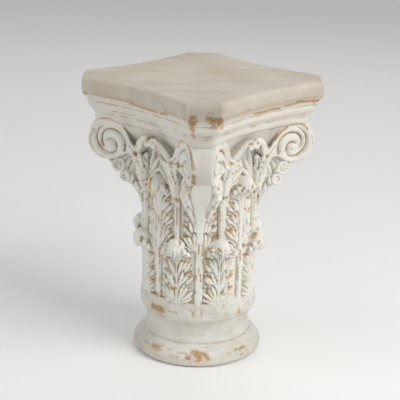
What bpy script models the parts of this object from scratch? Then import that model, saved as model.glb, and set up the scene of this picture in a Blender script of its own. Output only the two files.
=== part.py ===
"""Display pedestal in the form of a leafy column capital, cast in one piece.

Metres, +Z up. The origin is the centre of the underside, and the sides of the top slab run
along X and Y, so its cut corners point along the diagonals.
"""
import math

import bmesh
import bpy
from mathutils import Matrix, Vector

# Heights, stacked from the floor up
FOOT_HEIGHT = 0.037
NECK_HEIGHT = 0.040
COLLAR_HEIGHT = 0.035
BELL_HEIGHT = 0.291
MOULDING_HEIGHT = 0.048
SLAB_THICKNESS = 0.029

# Turned core
FOOT_RADIUS = 0.1115
NECK_RADIUS = 0.0883
COLLAR_RADIUS = 0.0996
BELL_RADIUS = 0.0925
BELL_FLARE = 0.027
CORE_SIDES = 36

# Top slab and the moulding under it
SLAB_REACH = 0.1985
CORNER_HALF_WIDTH = 0.0283
SIDE_HOLLOW = 0.0139
MOULDING_INSET = 0.028
SIDE_STEPS = 6

# Leaves
LOWER_LEAVES = 8
LOWER_LEAF_HEIGHT = 0.120
LOWER_LEAF_WIDTH = 0.062
LOWER_HOOD_REACH = 0.028
FACE_LEAF_HEIGHT = 0.222
FACE_HOOD_REACH = 0.024
CORNER_LEAF_HEIGHT = 0.241
CORNER_LEAF_REACH = 0.068
CORNER_CURL_SIZE = 0.033
UPPER_LEAF_WIDTH = 0.060
LEAF_THICKNESS = 0.0075
HOOD_WIDTH = 0.033
HOOD_HEIGHT = 0.031
LEAFLETS = 4
LEAFLET_RISE = 0.42
NOTCH_WIDTH = 0.70
ROOT_DEPTH = 0.002

# Ribs between the lower leaves, and the stalks that carry the scrolls
RIB_WIDTH = 0.012
STALK_WIDTH = 0.011

# Corner scrolls
SCROLL_REACH = 0.188
SCROLL_EYE_HEIGHT = 0.2555
SCROLL_RADIUS = 0.043
RIM_HALF_WIDTH = 0.016
SCROLL_SPLAY = math.radians(20)
SCROLL_TURNS = 1.75
SCROLL_SHRINK = 0.5
BAND_STEPS = 15
BAND_RELIEF = 0.004
SCROLL_EYE_RADIUS = 0.0062
SCROLL_EYE_DEPTH = 0.008

# Small scrolls that meet at the middle of each side
HELIX_EYE_HEIGHT = 0.270
HELIX_RADIUS = 0.0095
HELIX_SPACING = 0.0185
HELIX_REACH = 0.120
HELIX_STRIP = 0.006

COLLAR_TOP = FOOT_HEIGHT + NECK_HEIGHT + COLLAR_HEIGHT
BELL_TOP = COLLAR_TOP + BELL_HEIGHT
SLAB_BOTTOM = BELL_TOP + MOULDING_HEIGHT
TOP = SLAB_BOTTOM + SLAB_THICKNESS
CORE_TOP = BELL_TOP + 0.25 * MOULDING_HEIGHT
ROOT_RADIUS = BELL_RADIUS - ROOT_DEPTH
LEAF_RADIUS = BELL_RADIUS + ROOT_DEPTH
UPPER_LEAF_FOOT = COLLAR_TOP + 0.72 * LOWER_LEAF_HEIGHT
CORNERS = [math.radians(45 + 90 * quarter) for quarter in range(4)]
SIDES = [math.radians(90 * quarter) for quarter in range(4)]
SHARP_ANGLE = math.radians(50)


def clear_scene():
    """Remove every object that is in the scene."""
    for item in list(bpy.data.objects):
        bpy.data.objects.remove(item)


def new_collection(name):
    """A collection under the scene's own."""
    group = bpy.data.collections.new(name)
    bpy.context.scene.collection.children.link(group)
    return group


def whitewash():
    """Warm off-white lime wash on a cast body."""
    material = bpy.data.materials.new("whitewash")
    material.use_nodes = True
    shader = material.node_tree.nodes["Principled BSDF"]
    shader.inputs["Base Color"].default_value = (0.60, 0.57, 0.51, 1.0)
    shader.inputs["Roughness"].default_value = 0.75
    shader.inputs["Metallic"].default_value = 0.0
    return material


def add_mesh(name, points, edges, faces, group):
    """A smooth-shaded mesh object in a collection."""
    mesh = bpy.data.meshes.new(name)
    mesh.from_pydata(points, edges, faces)
    mesh.shade_smooth()
    item = bpy.data.objects.new(name, mesh)
    group.objects.link(item)
    return item


def loft(name, rings, group):
    """A closed solid through rings that have the same number of points, capped at both ends."""
    count = len(rings[0])
    points = [point for ring in rings for point in ring]
    faces = []
    for row in range(len(rings) - 1):
        for column in range(count):
            beside = (column + 1) % count
            here = row * count
            above = here + count
            faces.append((here + column, here + beside, above + beside, above + column))
    faces.append(tuple(range(count)))
    faces.append(tuple(range(len(points) - count, len(points))))
    item = add_mesh(name, points, [], faces, group)
    shell = bmesh.new()
    shell.from_mesh(item.data)
    bmesh.ops.recalc_face_normals(shell, faces=shell.faces)
    shell.to_mesh(item.data)
    shell.free()
    item.data.set_sharp_from_angle(angle=SHARP_ANGLE)
    return item


def smooth_line(stations, steps=6):
    """Points on a smooth curve through the given (radius, height) stations."""
    stations = [Vector(station) for station in stations]
    padded = [2 * stations[0] - stations[1]] + stations + [2 * stations[-1] - stations[-2]]
    line = []
    for before, start, end, after in zip(padded, padded[1:], padded[2:], padded[3:]):
        for step in range(steps):
            t = step / steps
            line.append(0.5 * (2 * start + (end - before) * t
                               + (2 * before - 5 * start + 4 * end - after) * t ** 2
                               + (3 * start - before - 3 * end + after) * t ** 3))
    line.append(stations[-1])
    return line


def line_length(line):
    """Length of a line of points."""
    return sum((end - start).length for start, end in zip(line, line[1:]))


def along(line, distance):
    """Place and direction at a distance along a line of points."""
    for start, end in zip(line, line[1:]):
        step = (end - start).length
        if distance <= step:
            break
        distance -= step
    direction = (end - start).normalized()
    return start + direction * distance, direction


def around(radius, height, turn):
    """A point at a radius and a height, at an angle round the axis."""
    return Vector((radius * math.cos(turn), radius * math.sin(turn), height))


def core(group):
    """The turned body: foot, neck, collar and bell."""
    neck_top = FOOT_HEIGHT + NECK_HEIGHT
    flare_start = COLLAR_TOP + 0.66 * BELL_HEIGHT
    profile = [(0.0, CORE_TOP), (BELL_RADIUS + BELL_FLARE, CORE_TOP)]
    for share in (0.85, 0.5, 0.0):
        height = flare_start + share * (BELL_TOP - flare_start)
        profile.append((BELL_RADIUS + BELL_FLARE * share ** 1.5, height))
    profile.append((BELL_RADIUS, COLLAR_TOP))
    for share, swell in ((0.95, 0.60), (0.62, 0.93), (0.30, 0.98), (0.06, 0.60)):
        height = neck_top + share * COLLAR_HEIGHT
        profile.append((NECK_RADIUS + swell * (COLLAR_RADIUS - NECK_RADIUS), height))
    profile.append((NECK_RADIUS, FOOT_HEIGHT + 0.42 * NECK_HEIGHT))
    profile.append((1.02 * NECK_RADIUS, FOOT_HEIGHT))
    bulge = FOOT_RADIUS - NECK_RADIUS
    for out, rise in ((0.50, 0.76), (0.84, 0.50), (1.0, 0.24), (0.78, 0.0)):
        profile.append((NECK_RADIUS + out * bulge, rise * FOOT_HEIGHT))
    profile.append((0.0, 0.0))
    points = [(radius, 0.0, height) for radius, height in profile]
    edges = [(index, index + 1) for index in range(len(points) - 1)]
    item = add_mesh("capital_pedestal", points, edges, [], group)
    turning = item.modifiers.new("turned", 'SCREW')
    turning.steps = CORE_SIDES
    turning.render_steps = CORE_SIDES
    turning.use_merge_vertices = True
    turning.merge_threshold = 0.0001
    return item


def slab_ring(inset, height):
    """Outline of the slab at a height, set in from its widest level by the same amount all round."""
    half_side = (SLAB_REACH + CORNER_HALF_WIDTH) / math.sqrt(2) - inset
    corner = SLAB_REACH - inset
    half_length = math.sqrt(2) * corner - half_side
    bend = (half_length ** 2 + SIDE_HOLLOW ** 2) / (2 * SIDE_HOLLOW)
    half_angle = math.asin(half_length / bend)
    ring = []
    for turn in SIDES:
        for step in range(SIDE_STEPS + 1):
            swing = half_angle * (2 * step / SIDE_STEPS - 1)
            out = half_side - SIDE_HOLLOW + bend * (1 - math.cos(swing))
            point = Vector((out, bend * math.sin(swing), height))
            ring.append(Matrix.Rotation(turn, 3, 'Z') @ point)
    return ring


def abacus(group):
    """The top slab with hollow sides and cut corners, on its moulding.

    The last level runs down inside the bell and the corner scrolls, so no gap is left above them.
    """
    levels = [(0.26 * SLAB_THICKNESS, TOP), (0.07 * SLAB_THICKNESS, TOP - 0.16 * SLAB_THICKNESS),
              (0.0, TOP - 0.5 * SLAB_THICKNESS), (0.06 * SLAB_THICKNESS, SLAB_BOTTOM)]
    for inset, drop in ((0.32, 0.18), (0.38, 0.35), (0.68, 0.56), (0.88, 0.76), (1.0, 1.0), (2.0, 2.0)):
        levels.append((inset * MOULDING_INSET, SLAB_BOTTOM - drop * MOULDING_HEIGHT))
    rings = [slab_ring(inset, height) for inset, height in reversed(levels)]
    return loft("abacus", rings, group)


def leaf_ring(line, turn, distance, half_width, lean, face, back):
    """One cross-section of a leaf: a ridged face whose edges run into the bell, and a pointed back.

    face and back are the depths on the two sides of the line, and lean moves the edges along it.
    """
    ring = []
    for side, lift in ((-1.0, 0.0), (-0.5, 0.65 * face), (0.0, face), (0.5, 0.65 * face), (1.0, 0.0),
                       (0.0, -back)):
        place, direction = along(line, distance + lean * abs(side) * half_width)
        place = place + lift * Vector((direction.y, -direction.x))
        radius = ROOT_RADIUS if abs(side) == 1.0 else place.x
        ring.append(around(radius, place.y, turn + side * half_width / radius))
    return ring


def leaf(name, stations, turn, widths, group):
    """The lobed blade of a leaf, which follows (radius, height) stations up the bell.

    widths are the half widths at its foot, across its lobes and where it runs into its hood. The
    rows alternate between notches and lobes, and its last lobes end below its hood.
    """
    foot, full, neck = widths
    line = smooth_line(stations)
    length = line_length(line)
    back = 1.2 * LEAF_THICKNESS
    rows = 2 * LEAFLETS
    rings = []
    for row in range(rows + 1):
        share = row / rows
        half_width = foot + (full - foot) * min(1.0, 3.5 * share)
        face = 0.72 * LEAF_THICKNESS
        if row % 2 == 0:
            half_width *= NOTCH_WIDTH
            face *= 0.6
        rings.append(leaf_ring(line, turn, 0.86 * share * length, half_width, LEAFLET_RISE, face, back))
    rings.append(leaf_ring(line, turn, length, neck, 0.0, 0.3 * LEAF_THICKNESS, back))
    return loft(name, rings, group)


def lump(name, place, size, turn, segments, rows, group):
    """A rounded lump: place is its (radius, across, height) and size its (depth, width, height)."""
    radius, across, height = place
    centre = Matrix.Rotation(turn, 3, 'Z') @ Vector((radius, across, height))
    bpy.ops.mesh.primitive_uv_sphere_add(segments=segments, ring_count=rows, radius=0.5, location=centre)
    item = bpy.context.object
    item.rotation_euler.z = turn
    item.scale = size
    item.data.shade_smooth()
    move_to(item, name, group)


def hood(name, reach, top, turn, group):
    """The curled tip of a leaf, which reaches out from the bell."""
    depth = reach + 0.5 * LEAF_THICKNESS
    place = (BELL_RADIUS + reach - 0.5 * depth, 0.0, top - 0.5 * HOOD_HEIGHT)
    lump(name, place, (depth, HOOD_WIDTH, HOOD_HEIGHT), turn, 8, 5, group)


def lower_leaves(group):
    """The row of leaves that stand on the collar."""
    foot = COLLAR_TOP - 2 * ROOT_DEPTH
    top = COLLAR_TOP + LOWER_LEAF_HEIGHT
    blade = [(LEAF_RADIUS + 0.001, foot), (LEAF_RADIUS + 0.002, 0.5 * (foot + top)),
             (LEAF_RADIUS + 0.004, top - 0.4 * HOOD_HEIGHT)]
    widths = (0.42 * LOWER_LEAF_WIDTH, 0.57 * LOWER_LEAF_WIDTH, 0.5 * HOOD_WIDTH)
    for index in range(LOWER_LEAVES):
        turn = CORNERS[0] + math.tau * (index + 0.5) / LOWER_LEAVES
        leaf(f"lower_leaf_{index + 1}", blade, turn, widths, group)
        hood(f"lower_hood_{index + 1}", LOWER_HOOD_REACH, top, turn, group)


def face_leaves(group):
    """The leaf in the middle of each side, behind the lower row."""
    top = COLLAR_TOP + FACE_LEAF_HEIGHT
    blade = [(LEAF_RADIUS, UPPER_LEAF_FOOT), (LEAF_RADIUS + 0.001, 0.5 * (UPPER_LEAF_FOOT + top)),
             (LEAF_RADIUS + 0.003, top - 0.4 * HOOD_HEIGHT)]
    widths = (0.25 * UPPER_LEAF_WIDTH, 0.57 * UPPER_LEAF_WIDTH, 0.5 * HOOD_WIDTH)
    for index, turn in enumerate(SIDES):
        leaf(f"face_leaf_{index + 1}", blade, turn, widths, group)
        hood(f"face_hood_{index + 1}", FACE_HOOD_REACH, top, turn, group)


def corner_leaf_ring(reach, half_width, spread, height, turn):
    """A level cross-section of a corner leaf, from its root inside the bell to its smooth front."""
    front = BELL_RADIUS + reach
    corner = front - ROOT_DEPTH
    shoulder = BELL_RADIUS + 0.45 * reach
    root = BELL_RADIUS - LEAF_THICKNESS
    ring = []
    for out, across in ((root, -spread), (shoulder, -spread), (corner, -half_width), (front, 0.0),
                        (corner, half_width), (shoulder, spread), (root, spread)):
        ring.append(Matrix.Rotation(turn, 3, 'Z') @ Vector((out, across, height)))
    return ring


def corner_leaves(group):
    """The leaf under each corner scroll. It leaves the bell, and its tip widens up to the scroll.

    Its levels are shares of its reach, of its half width at the front and at the sides, and the
    drop from its top.
    """
    top = COLLAR_TOP + CORNER_LEAF_HEIGHT
    full = 0.5 * UPPER_LEAF_WIDTH
    levels = [(0.05, 0.30, 0.50, 0.155), (0.07, 0.90, 1.00, 0.111), (0.09, 0.55, 0.72, 0.101),
              (0.13, 0.90, 1.00, 0.089), (0.16, 0.55, 0.72, 0.079), (0.23, 0.85, 0.95, 0.067),
              (0.31, 0.55, 0.80, 0.060), (0.55, 0.62, 0.90, 0.056), (0.75, 0.63, 1.00, 0.035),
              (1.00, 0.63, 1.10, 0.000)]
    curls = [(0.66, 0.68, 0.031, 1.0), (0.46, 0.78, 0.047, 0.78)]
    for index, turn in enumerate(CORNERS):
        rings = []
        for reach, front, spread, drop in levels:
            rings.append(corner_leaf_ring(reach * CORNER_LEAF_REACH, front * full, spread * full,
                                          top - drop, turn))
        loft(f"corner_leaf_{index + 1}", rings, group)
        for side in (-1, 1):
            for number, (reach, across, drop, share) in enumerate(curls):
                size = share * CORNER_CURL_SIZE
                place = (BELL_RADIUS + reach * CORNER_LEAF_REACH, side * across * full, top - drop)
                lump(f"corner_curl_{index + 1}_{side + 2}_{number + 1}", place, (size, 0.5 * size, size),
                     turn, 6, 4, group)


def bar(name, places, width, turn, group):
    """A half-round bar on the bell through (radius, height, share of the width) places."""
    rings = []
    for radius, height, share in places:
        half = 0.5 * width * share
        ring = []
        for side, out in ((-1.0, -0.6), (-0.5, 0.9), (0.5, 0.9), (1.0, -0.6)):
            reach = radius + out * 0.5 * width
            ring.append(around(reach, height, turn + side * half / reach))
        ring.append(around(BELL_RADIUS - width, height, turn))
        rings.append(ring)
    return loft(name, rings, group)


def ribs_and_stalks(group):
    """Ribs between the lower leaves, and the stalks and cups above them."""
    lower_top = COLLAR_TOP + LOWER_LEAF_HEIGHT
    rib_radius = BELL_RADIUS + 0.75 * ROOT_DEPTH
    for index in range(LOWER_LEAVES):
        turn = CORNERS[0] + math.tau * index / LOWER_LEAVES
        places = [(rib_radius, COLLAR_TOP - 2 * ROOT_DEPTH, 1.0), (rib_radius, lower_top, 0.9)]
        bar(f"rib_{index + 1}", places, RIB_WIDTH, turn, group)
    cup_top = COLLAR_TOP + SCROLL_EYE_HEIGHT - 0.006
    cup_foot = cup_top - 0.068
    for index in range(LOWER_LEAVES):
        turn = CORNERS[0] + math.tau * (index + 0.5) / LOWER_LEAVES
        places = [(rib_radius, lower_top - 0.012, 1.1), (rib_radius + 0.001, cup_foot - 0.004, 1.0),
                  (rib_radius + 0.003, cup_foot, 1.6), (rib_radius + 0.004, cup_foot + 0.006, 1.2),
                  (rib_radius + 0.010, cup_top - 0.022, 2.6), (rib_radius + 0.019, cup_top, 2.5)]
        bar(f"stalk_{index + 1}", places, STALK_WIDTH, turn, group)


def scroll_radius(swing):
    """Radius of the corner scroll, which shrinks with each turn; swing is 0 at its top."""
    return SCROLL_RADIUS * SCROLL_SHRINK ** (swing / math.tau)


def scroll_point(out, height, side, lift, turn):
    """A point on a scroll's face: out is towards the corner from its eye, and lift is off its face."""
    eye_distance = 0.95 * SCROLL_RADIUS
    distance = eye_distance - out
    along_diagonal = SCROLL_REACH - distance * math.cos(SCROLL_SPLAY) + lift * math.sin(SCROLL_SPLAY)
    across = RIM_HALF_WIDTH + distance * math.sin(SCROLL_SPLAY) + lift * math.cos(SCROLL_SPLAY)
    point = Vector((along_diagonal, side * across, COLLAR_TOP + SCROLL_EYE_HEIGHT + height))
    return Matrix.Rotation(turn, 3, 'Z') @ point


def scroll_outline():
    """Outline of a corner scroll and its stem from the bell, seen on its face, from its eye."""
    outline = []
    for step in range(11):
        swing = math.radians(-15 + 24 * step)
        radius = scroll_radius(max(swing, 0.0))
        outline.append((radius * math.sin(swing), radius * math.cos(swing)))
    tail = [(-0.78, -0.42), (-1.42, -0.42), (-1.42, -0.28), (-1.0, -0.12), (-0.85, 0.18),
            (-0.72, 0.51), (-0.50, 0.80)]
    outline.extend((out * SCROLL_RADIUS, height * SCROLL_RADIUS) for out, height in tail)
    return outline


def corner_scroll(index, turn, group):
    """The block that carries a scroll on each of its two splayed faces."""
    outline = scroll_outline()
    rings = []
    for side in (-1, 1):
        rings.append([scroll_point(out, height, side, 0.0, turn) for out, height in outline])
    loft(f"scroll_block_{index + 1}", rings, group)
    for side in (-1, 1):
        scroll_band(f"scroll_band_{index + 1}_{side + 2}", side, turn, group)
        eye = scroll_point(0.0, 0.0, side, 0.2 * SCROLL_EYE_DEPTH, turn)
        bpy.ops.mesh.primitive_cone_add(vertices=6, radius1=SCROLL_EYE_RADIUS, depth=SCROLL_EYE_DEPTH,
                                        radius2=0.5 * SCROLL_EYE_RADIUS, location=eye)
        knob = bpy.context.object
        facing = turn + side * (0.5 * math.pi - SCROLL_SPLAY)
        knob.rotation_euler = (0.5 * math.pi, 0.0, facing + 0.5 * math.pi)
        move_to(knob, f"scroll_eye_{index + 1}_{side + 2}", group)


def move_to(item, name, group):
    """Name an object that was just added, and put it in a collection."""
    item.name = name
    for owner in list(item.users_collection):
        owner.objects.unlink(item)
    group.objects.link(item)


def scroll_band(name, side, turn, group):
    """The raised band that winds in to the eye."""
    rings = []
    for step in range(BAND_STEPS + 1):
        swing = SCROLL_TURNS * math.tau * step / BAND_STEPS
        radius = scroll_radius(swing)
        relief = BAND_RELIEF * (0.2 + 0.8 * radius / SCROLL_RADIUS)
        ring = []
        for share, lift in ((0.99, -ROOT_DEPTH), (0.82, relief), (0.60, -ROOT_DEPTH)):
            reach = share * radius
            ring.append(scroll_point(reach * math.sin(swing), reach * math.cos(swing), side, lift, turn))
        rings.append(ring)
    loft(name, rings, group)


def helix(index, turn, side, group):
    """A small scroll under the slab, curling in to the middle of its side."""
    eye_height = COLLAR_TOP + HELIX_EYE_HEIGHT
    eye_across = 0.5 * HELIX_SPACING
    centres = []
    rise = [(4.0, -2.1), (3.2, -0.8), (2.2, 0.35), (1.1, 1.0)]
    for across, height in rise:
        centres.append((eye_across + across * HELIX_RADIUS, height * HELIX_RADIUS, 1.0))
    for degrees in (0, -70, -140, -210):
        swing = math.radians(degrees)
        radius = HELIX_RADIUS * (1 + degrees / 700)
        centres.append((eye_across + radius * math.sin(swing), radius * math.cos(swing),
                        1 + degrees / 500))
    rings = []
    for number, (across, height, share) in enumerate(centres):
        before = centres[max(number - 1, 0)]
        after = centres[min(number + 1, len(centres) - 1)]
        direction = Vector((after[0] - before[0], after[1] - before[1])).normalized()
        normal = Vector((direction.y, -direction.x)) * 0.5 * HELIX_STRIP * share
        front = HELIX_REACH - 0.05 * across
        ring = []
        for sign, out in ((1, front), (-1, front), (-1, ROOT_RADIUS), (1, ROOT_RADIUS)):
            place = Vector((out, side * (across + sign * normal.x), eye_height + height + sign * normal.y))
            ring.append(Matrix.Rotation(turn, 3, 'Z') @ place)
        rings.append(ring)
    loft(f"helix_{index + 1}_{side + 2}", rings, group)


def join_all(body, group):
    """Join the carved shapes to the body as one solid."""
    for item in group.objects:
        item.hide_render = True
        item.display_type = 'WIRE'
    joining = body.modifiers.new("carving", 'BOOLEAN')
    joining.operation = 'UNION'
    joining.operand_type = 'COLLECTION'
    joining.collection = group
    joining.solver = 'EXACT'


def main():
    clear_scene()
    parts = new_collection("capital pedestal")
    carving = new_collection("carving")
    body = core(parts)
    body.data.materials.append(whitewash())
    abacus(carving)
    lower_leaves(carving)
    face_leaves(carving)
    corner_leaves(carving)
    ribs_and_stalks(carving)
    for index, turn in enumerate(CORNERS):
        corner_scroll(index, turn, carving)
    for index, turn in enumerate(SIDES):
        for side in (-1, 1):
            helix(index, turn, side, carving)
    join_all(body, carving)


if __name__ == "__main__":
    main()
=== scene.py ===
"""Carving and worn whitewash of a display pedestal in the form of a leafy column capital.

The file is laid out as an add-on and run as a script. Its carving is worked out in millimetres,
from the pedestal's axis and the floor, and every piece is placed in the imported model's frame.
"""
import math
from collections import namedtuple

import bpy
import numpy as np
from mathutils import Matrix, Vector


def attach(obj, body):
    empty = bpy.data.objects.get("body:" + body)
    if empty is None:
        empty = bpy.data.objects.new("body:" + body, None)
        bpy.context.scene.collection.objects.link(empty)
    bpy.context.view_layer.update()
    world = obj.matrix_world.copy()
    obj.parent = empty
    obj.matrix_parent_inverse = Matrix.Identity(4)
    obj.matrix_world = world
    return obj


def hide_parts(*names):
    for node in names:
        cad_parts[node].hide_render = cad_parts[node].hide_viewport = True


bl_info = {
    "name": "Leafy capital pedestal",
    "version": (1, 0, 0),
    "blender": (4, 5, 0),
    "location": "View3D > Sidebar > Pedestal",
    "description": "Carves the pedestal's leaves, scrolls and mouldings and gives them a worn whitewash",
    "category": "Object",
}

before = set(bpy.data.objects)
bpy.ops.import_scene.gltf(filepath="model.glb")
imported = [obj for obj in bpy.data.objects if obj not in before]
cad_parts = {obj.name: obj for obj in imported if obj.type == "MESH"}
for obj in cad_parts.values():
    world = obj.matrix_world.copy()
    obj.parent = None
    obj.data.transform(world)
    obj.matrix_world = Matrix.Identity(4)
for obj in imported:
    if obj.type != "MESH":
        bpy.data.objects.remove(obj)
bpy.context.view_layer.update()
NODE = "capital_pedestal"
IMAGE_WIDTH = 400
MM = 0.001

# Turns of the corners, sides, leaves and ribs round the axis. Each lower leaf's tip has its own rise, and its
# own reach as a share. Distances round the bell are measured at LEAF_RADIUS.
CORNERS = [math.radians(45 + 90 * quarter) for quarter in range(4)]
SIDES = [math.radians(90 * quarter) for quarter in range(4)]
LEAF_TURNS = [math.radians(degrees) for degrees in (22.5, 67.5, 112.5, 157.5, 206.0, 247.5, 292.0, 335.6)]
LEAF_TIP_RISES = [-8.5, -12.0, -4.5, -4.5, -5.5, -7.0, -5.0, -4.0]
LEAF_TIP_REACHES = [1.0, 1.0, 1.0, 1.0, 1.0, 1.0, 0.76, 1.0]
RIB_TURNS = [math.radians(45 * index) for index in range(8)]
SIDE_TIP_RISE = 99.0
LEAF_RADIUS = 97.0


class PedestalSizes(bpy.types.PropertyGroup):
    """Sizes of the carving. Heights are from the floor and radii from the pedestal's axis."""
    slab_reach: bpy.props.FloatProperty(
        name="Slab reach", description="From the axis to the widest part of a cut corner",
        default=0.1985, unit='LENGTH', subtype='DISTANCE')
    corner_half_width: bpy.props.FloatProperty(
        name="Corner half width", description="Half the width of a cut corner",
        default=0.0283, unit='LENGTH', subtype='DISTANCE')
    side_hollow: bpy.props.FloatProperty(
        name="Side hollow", description="How far a side of the slab curves in",
        default=0.0139, unit='LENGTH', subtype='DISTANCE')
    bell_radius: bpy.props.FloatProperty(
        name="Bell radius", description="The bell's radius behind the leaves",
        default=0.0925, unit='LENGTH', subtype='DISTANCE')
    finger_relief: bpy.props.FloatProperty(
        name="Finger relief", description="How far a leaf's fingers stand off its blade",
        default=0.0036, unit='LENGTH', subtype='DISTANCE')
    blade_relief: bpy.props.FloatProperty(
        name="Blade relief", description="How far a leaf's blade stands off the bell",
        default=0.0030, unit='LENGTH', subtype='DISTANCE')
    rib_relief: bpy.props.FloatProperty(
        name="Rib relief", description="How far the ribs between the leaves stand off the bell",
        default=0.0052, unit='LENGTH', subtype='DISTANCE')
    scroll_reach: bpy.props.FloatProperty(
        name="Scroll reach", description="From the axis to the rim of a corner scroll",
        default=0.188, unit='LENGTH', subtype='DISTANCE')
    scroll_eye_height: bpy.props.FloatProperty(
        name="Scroll eye height", description="Height of a corner scroll's eye",
        default=0.3675, unit='LENGTH', subtype='DISTANCE')
    scroll_groove: bpy.props.FloatProperty(
        name="Scroll groove", description="Depth of the groove that winds in to the eye",
        default=0.0056, unit='LENGTH', subtype='DISTANCE')
    helix_eye_height: bpy.props.FloatProperty(
        name="Small scroll eye height", description="Height of the eyes of the small scrolls",
        default=0.3855, unit='LENGTH', subtype='DISTANCE')


class PedestalFinish(bpy.types.PropertyGroup):
    """Colours of the whitewash and of what shows where it is worn."""
    wash: bpy.props.FloatVectorProperty(
        name="Wash", description="The whitewash where it is thickest", subtype='COLOR', size=3,
        default=(0.745, 0.735, 0.675), min=0.0, max=1.0)
    wash_shade: bpy.props.FloatVectorProperty(
        name="Wash shade", description="The whitewash where it is thin", subtype='COLOR', size=3,
        default=(0.54, 0.515, 0.445), min=0.0, max=1.0)
    slab_wash: bpy.props.FloatVectorProperty(
        name="Slab wash", description="The warmer wash on the slab", subtype='COLOR', size=3,
        default=(0.60, 0.54, 0.46), min=0.0, max=1.0)
    glaze: bpy.props.FloatVectorProperty(
        name="Glaze", description="The brown that lies in the crevices", subtype='COLOR', size=3,
        default=(0.16, 0.105, 0.055), min=0.0, max=1.0)
    ochre: bpy.props.FloatVectorProperty(
        name="Ochre", description="The body colour where the wash is rubbed off", subtype='COLOR', size=3,
        default=(0.38, 0.225, 0.095), min=0.0, max=1.0)
    roughness: bpy.props.FloatProperty(
        name="Roughness", description="Roughness of the wash", subtype='FACTOR',
        default=0.72, min=0.0, max=1.0)


class PedestalStage(bpy.types.PropertyGroup):
    """The floor, the light and the place of the camera."""
    floor: bpy.props.FloatVectorProperty(
        name="Floor", description="Colour of the floor", subtype='COLOR', size=3,
        default=(0.93, 0.93, 0.93), min=0.0, max=1.0)
    lens: bpy.props.FloatProperty(
        name="Lens", description="Focal length of the camera in millimetres, on a 36 mm sensor",
        default=109.83)
    key_light: bpy.props.FloatProperty(
        name="Key light", description="Strength of the large soft light", default=42.0, subtype='POWER')
    fill_light: bpy.props.FloatProperty(
        name="Fill light", description="Strength of the light from the other side", default=12.0,
        subtype='POWER')
    surround: bpy.props.FloatProperty(
        name="Surround", description="Brightness of the plain surroundings", default=0.460)


def sizes():
    """The sizes as the sidebar shows them."""
    return bpy.context.scene.pedestal_sizes


def finish():
    """The colours as the sidebar shows them."""
    return bpy.context.scene.pedestal_finish


def resample(line, count, closed=False):
    """Evenly spaced points along a line of points."""
    if closed:
        line = np.vstack([line, line[:1]])
    way = np.concatenate([[0.0], np.cumsum(np.linalg.norm(np.diff(line, axis=0), axis=1))])
    at = np.linspace(0.0, way[-1], count + 1 if closed else count)[:count]
    return np.stack([np.interp(at, way, line[:, axis]) for axis in range(line.shape[1])], axis=1)


def smooth_line(stations, count):
    """Evenly spaced points on a smooth curve through the stations."""
    points = np.array(stations, float)
    padded = np.vstack([2 * points[0] - points[1], points, 2 * points[-1] - points[-2]])
    t = np.linspace(0.0, 1.0, 13)[:-1, None]
    spans = []
    for a, b, c, d in zip(padded, padded[1:], padded[2:], padded[3:]):
        spans.append(0.5 * (2 * b + (c - a) * t + (2 * a - 5 * b + 4 * c - d) * t ** 2
                            + (3 * b - a - 3 * c + d) * t ** 3))
    return resample(np.vstack(spans + [points[-1:]]), count)


def ease(value, low, high):
    """0 below low, 1 above high, and smooth between them."""
    share = np.clip((value - low) / (high - low), 0.0, 1.0)
    return share * share * (3 - 2 * share)


def around_axis(radius, turn, height):
    """Places at a radius and an angle from the axis, and a height."""
    return np.stack([radius * np.cos(turn), radius * np.sin(turn), height], axis=-1)


def turned(points, turn):
    """Points turned about the pedestal's axis."""
    cos, sin = math.cos(turn), math.sin(turn)
    return np.stack([points[..., 0] * cos - points[..., 1] * sin,
                     points[..., 0] * sin + points[..., 1] * cos, points[..., 2]], axis=-1)


def waves(place, seed, length, rounds=3):
    """A smooth random value between about -1 and 1 at each place, with the given wavelength."""
    random = np.random.default_rng(seed)
    total = np.zeros(place.shape[:-1])
    for _ in range(4 * rounds):
        direction = random.normal(size=3)
        direction /= np.linalg.norm(direction)
        scale = math.tau / (length * random.uniform(0.6, 1.5))
        total += np.sin(place @ direction * scale + random.uniform(0, math.tau))
    return total / math.sqrt(4 * rounds)


def tube_faces(rows, columns):
    """Faces of a grid that closes round on itself, with a fan to a point at each end."""
    here = np.arange(rows - 1)[:, None] * columns + np.arange(columns)[None]
    beside = np.roll(here, -1, axis=1)
    quads = np.stack([here, beside, beside + columns, here + columns], axis=-1).reshape(-1, 4)
    ring = np.arange(columns)
    after = np.roll(ring, -1)
    last = (rows - 1) * columns
    low = np.stack([after, ring, np.full(columns, rows * columns)], axis=1)
    high = np.stack([ring + last, after + last, np.full(columns, rows * columns + 1)], axis=1)
    return quads, np.vstack([low, high])


def tube(grid):
    """Points, four-sided faces and three-sided faces of a closed body through rings of points."""
    rows, columns = grid.shape[:2]
    points = np.vstack([grid.reshape(-1, 3), grid[0].mean(axis=0), grid[-1].mean(axis=0)])
    quads, fans = outward(points, *tube_faces(rows, columns))
    return points, quads, fans


def joined(bodies):
    """Several bodies as the points and faces of one mesh."""
    points, quads, fans, start = [], [], [], 0
    for body_points, body_quads, body_fans in bodies:
        points.append(body_points)
        quads.append(body_quads + start)
        fans.append(body_fans + start)
        start += len(body_points)
    return np.vstack(points), np.vstack(quads), np.vstack(fans)


def outward(points, quads, fans):
    """The faces turned to face out of the body."""
    volume = 0.0
    for a, b, c in ((quads[:, 0], quads[:, 1], quads[:, 2]), (quads[:, 0], quads[:, 2], quads[:, 3]),
                    (fans[:, 0], fans[:, 1], fans[:, 2])):
        volume += np.einsum('ij,ij->i', points[a], np.cross(points[b], points[c])).sum()
    if volume < 0:
        return quads[:, ::-1], fans[:, ::-1]
    return quads, fans


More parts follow.
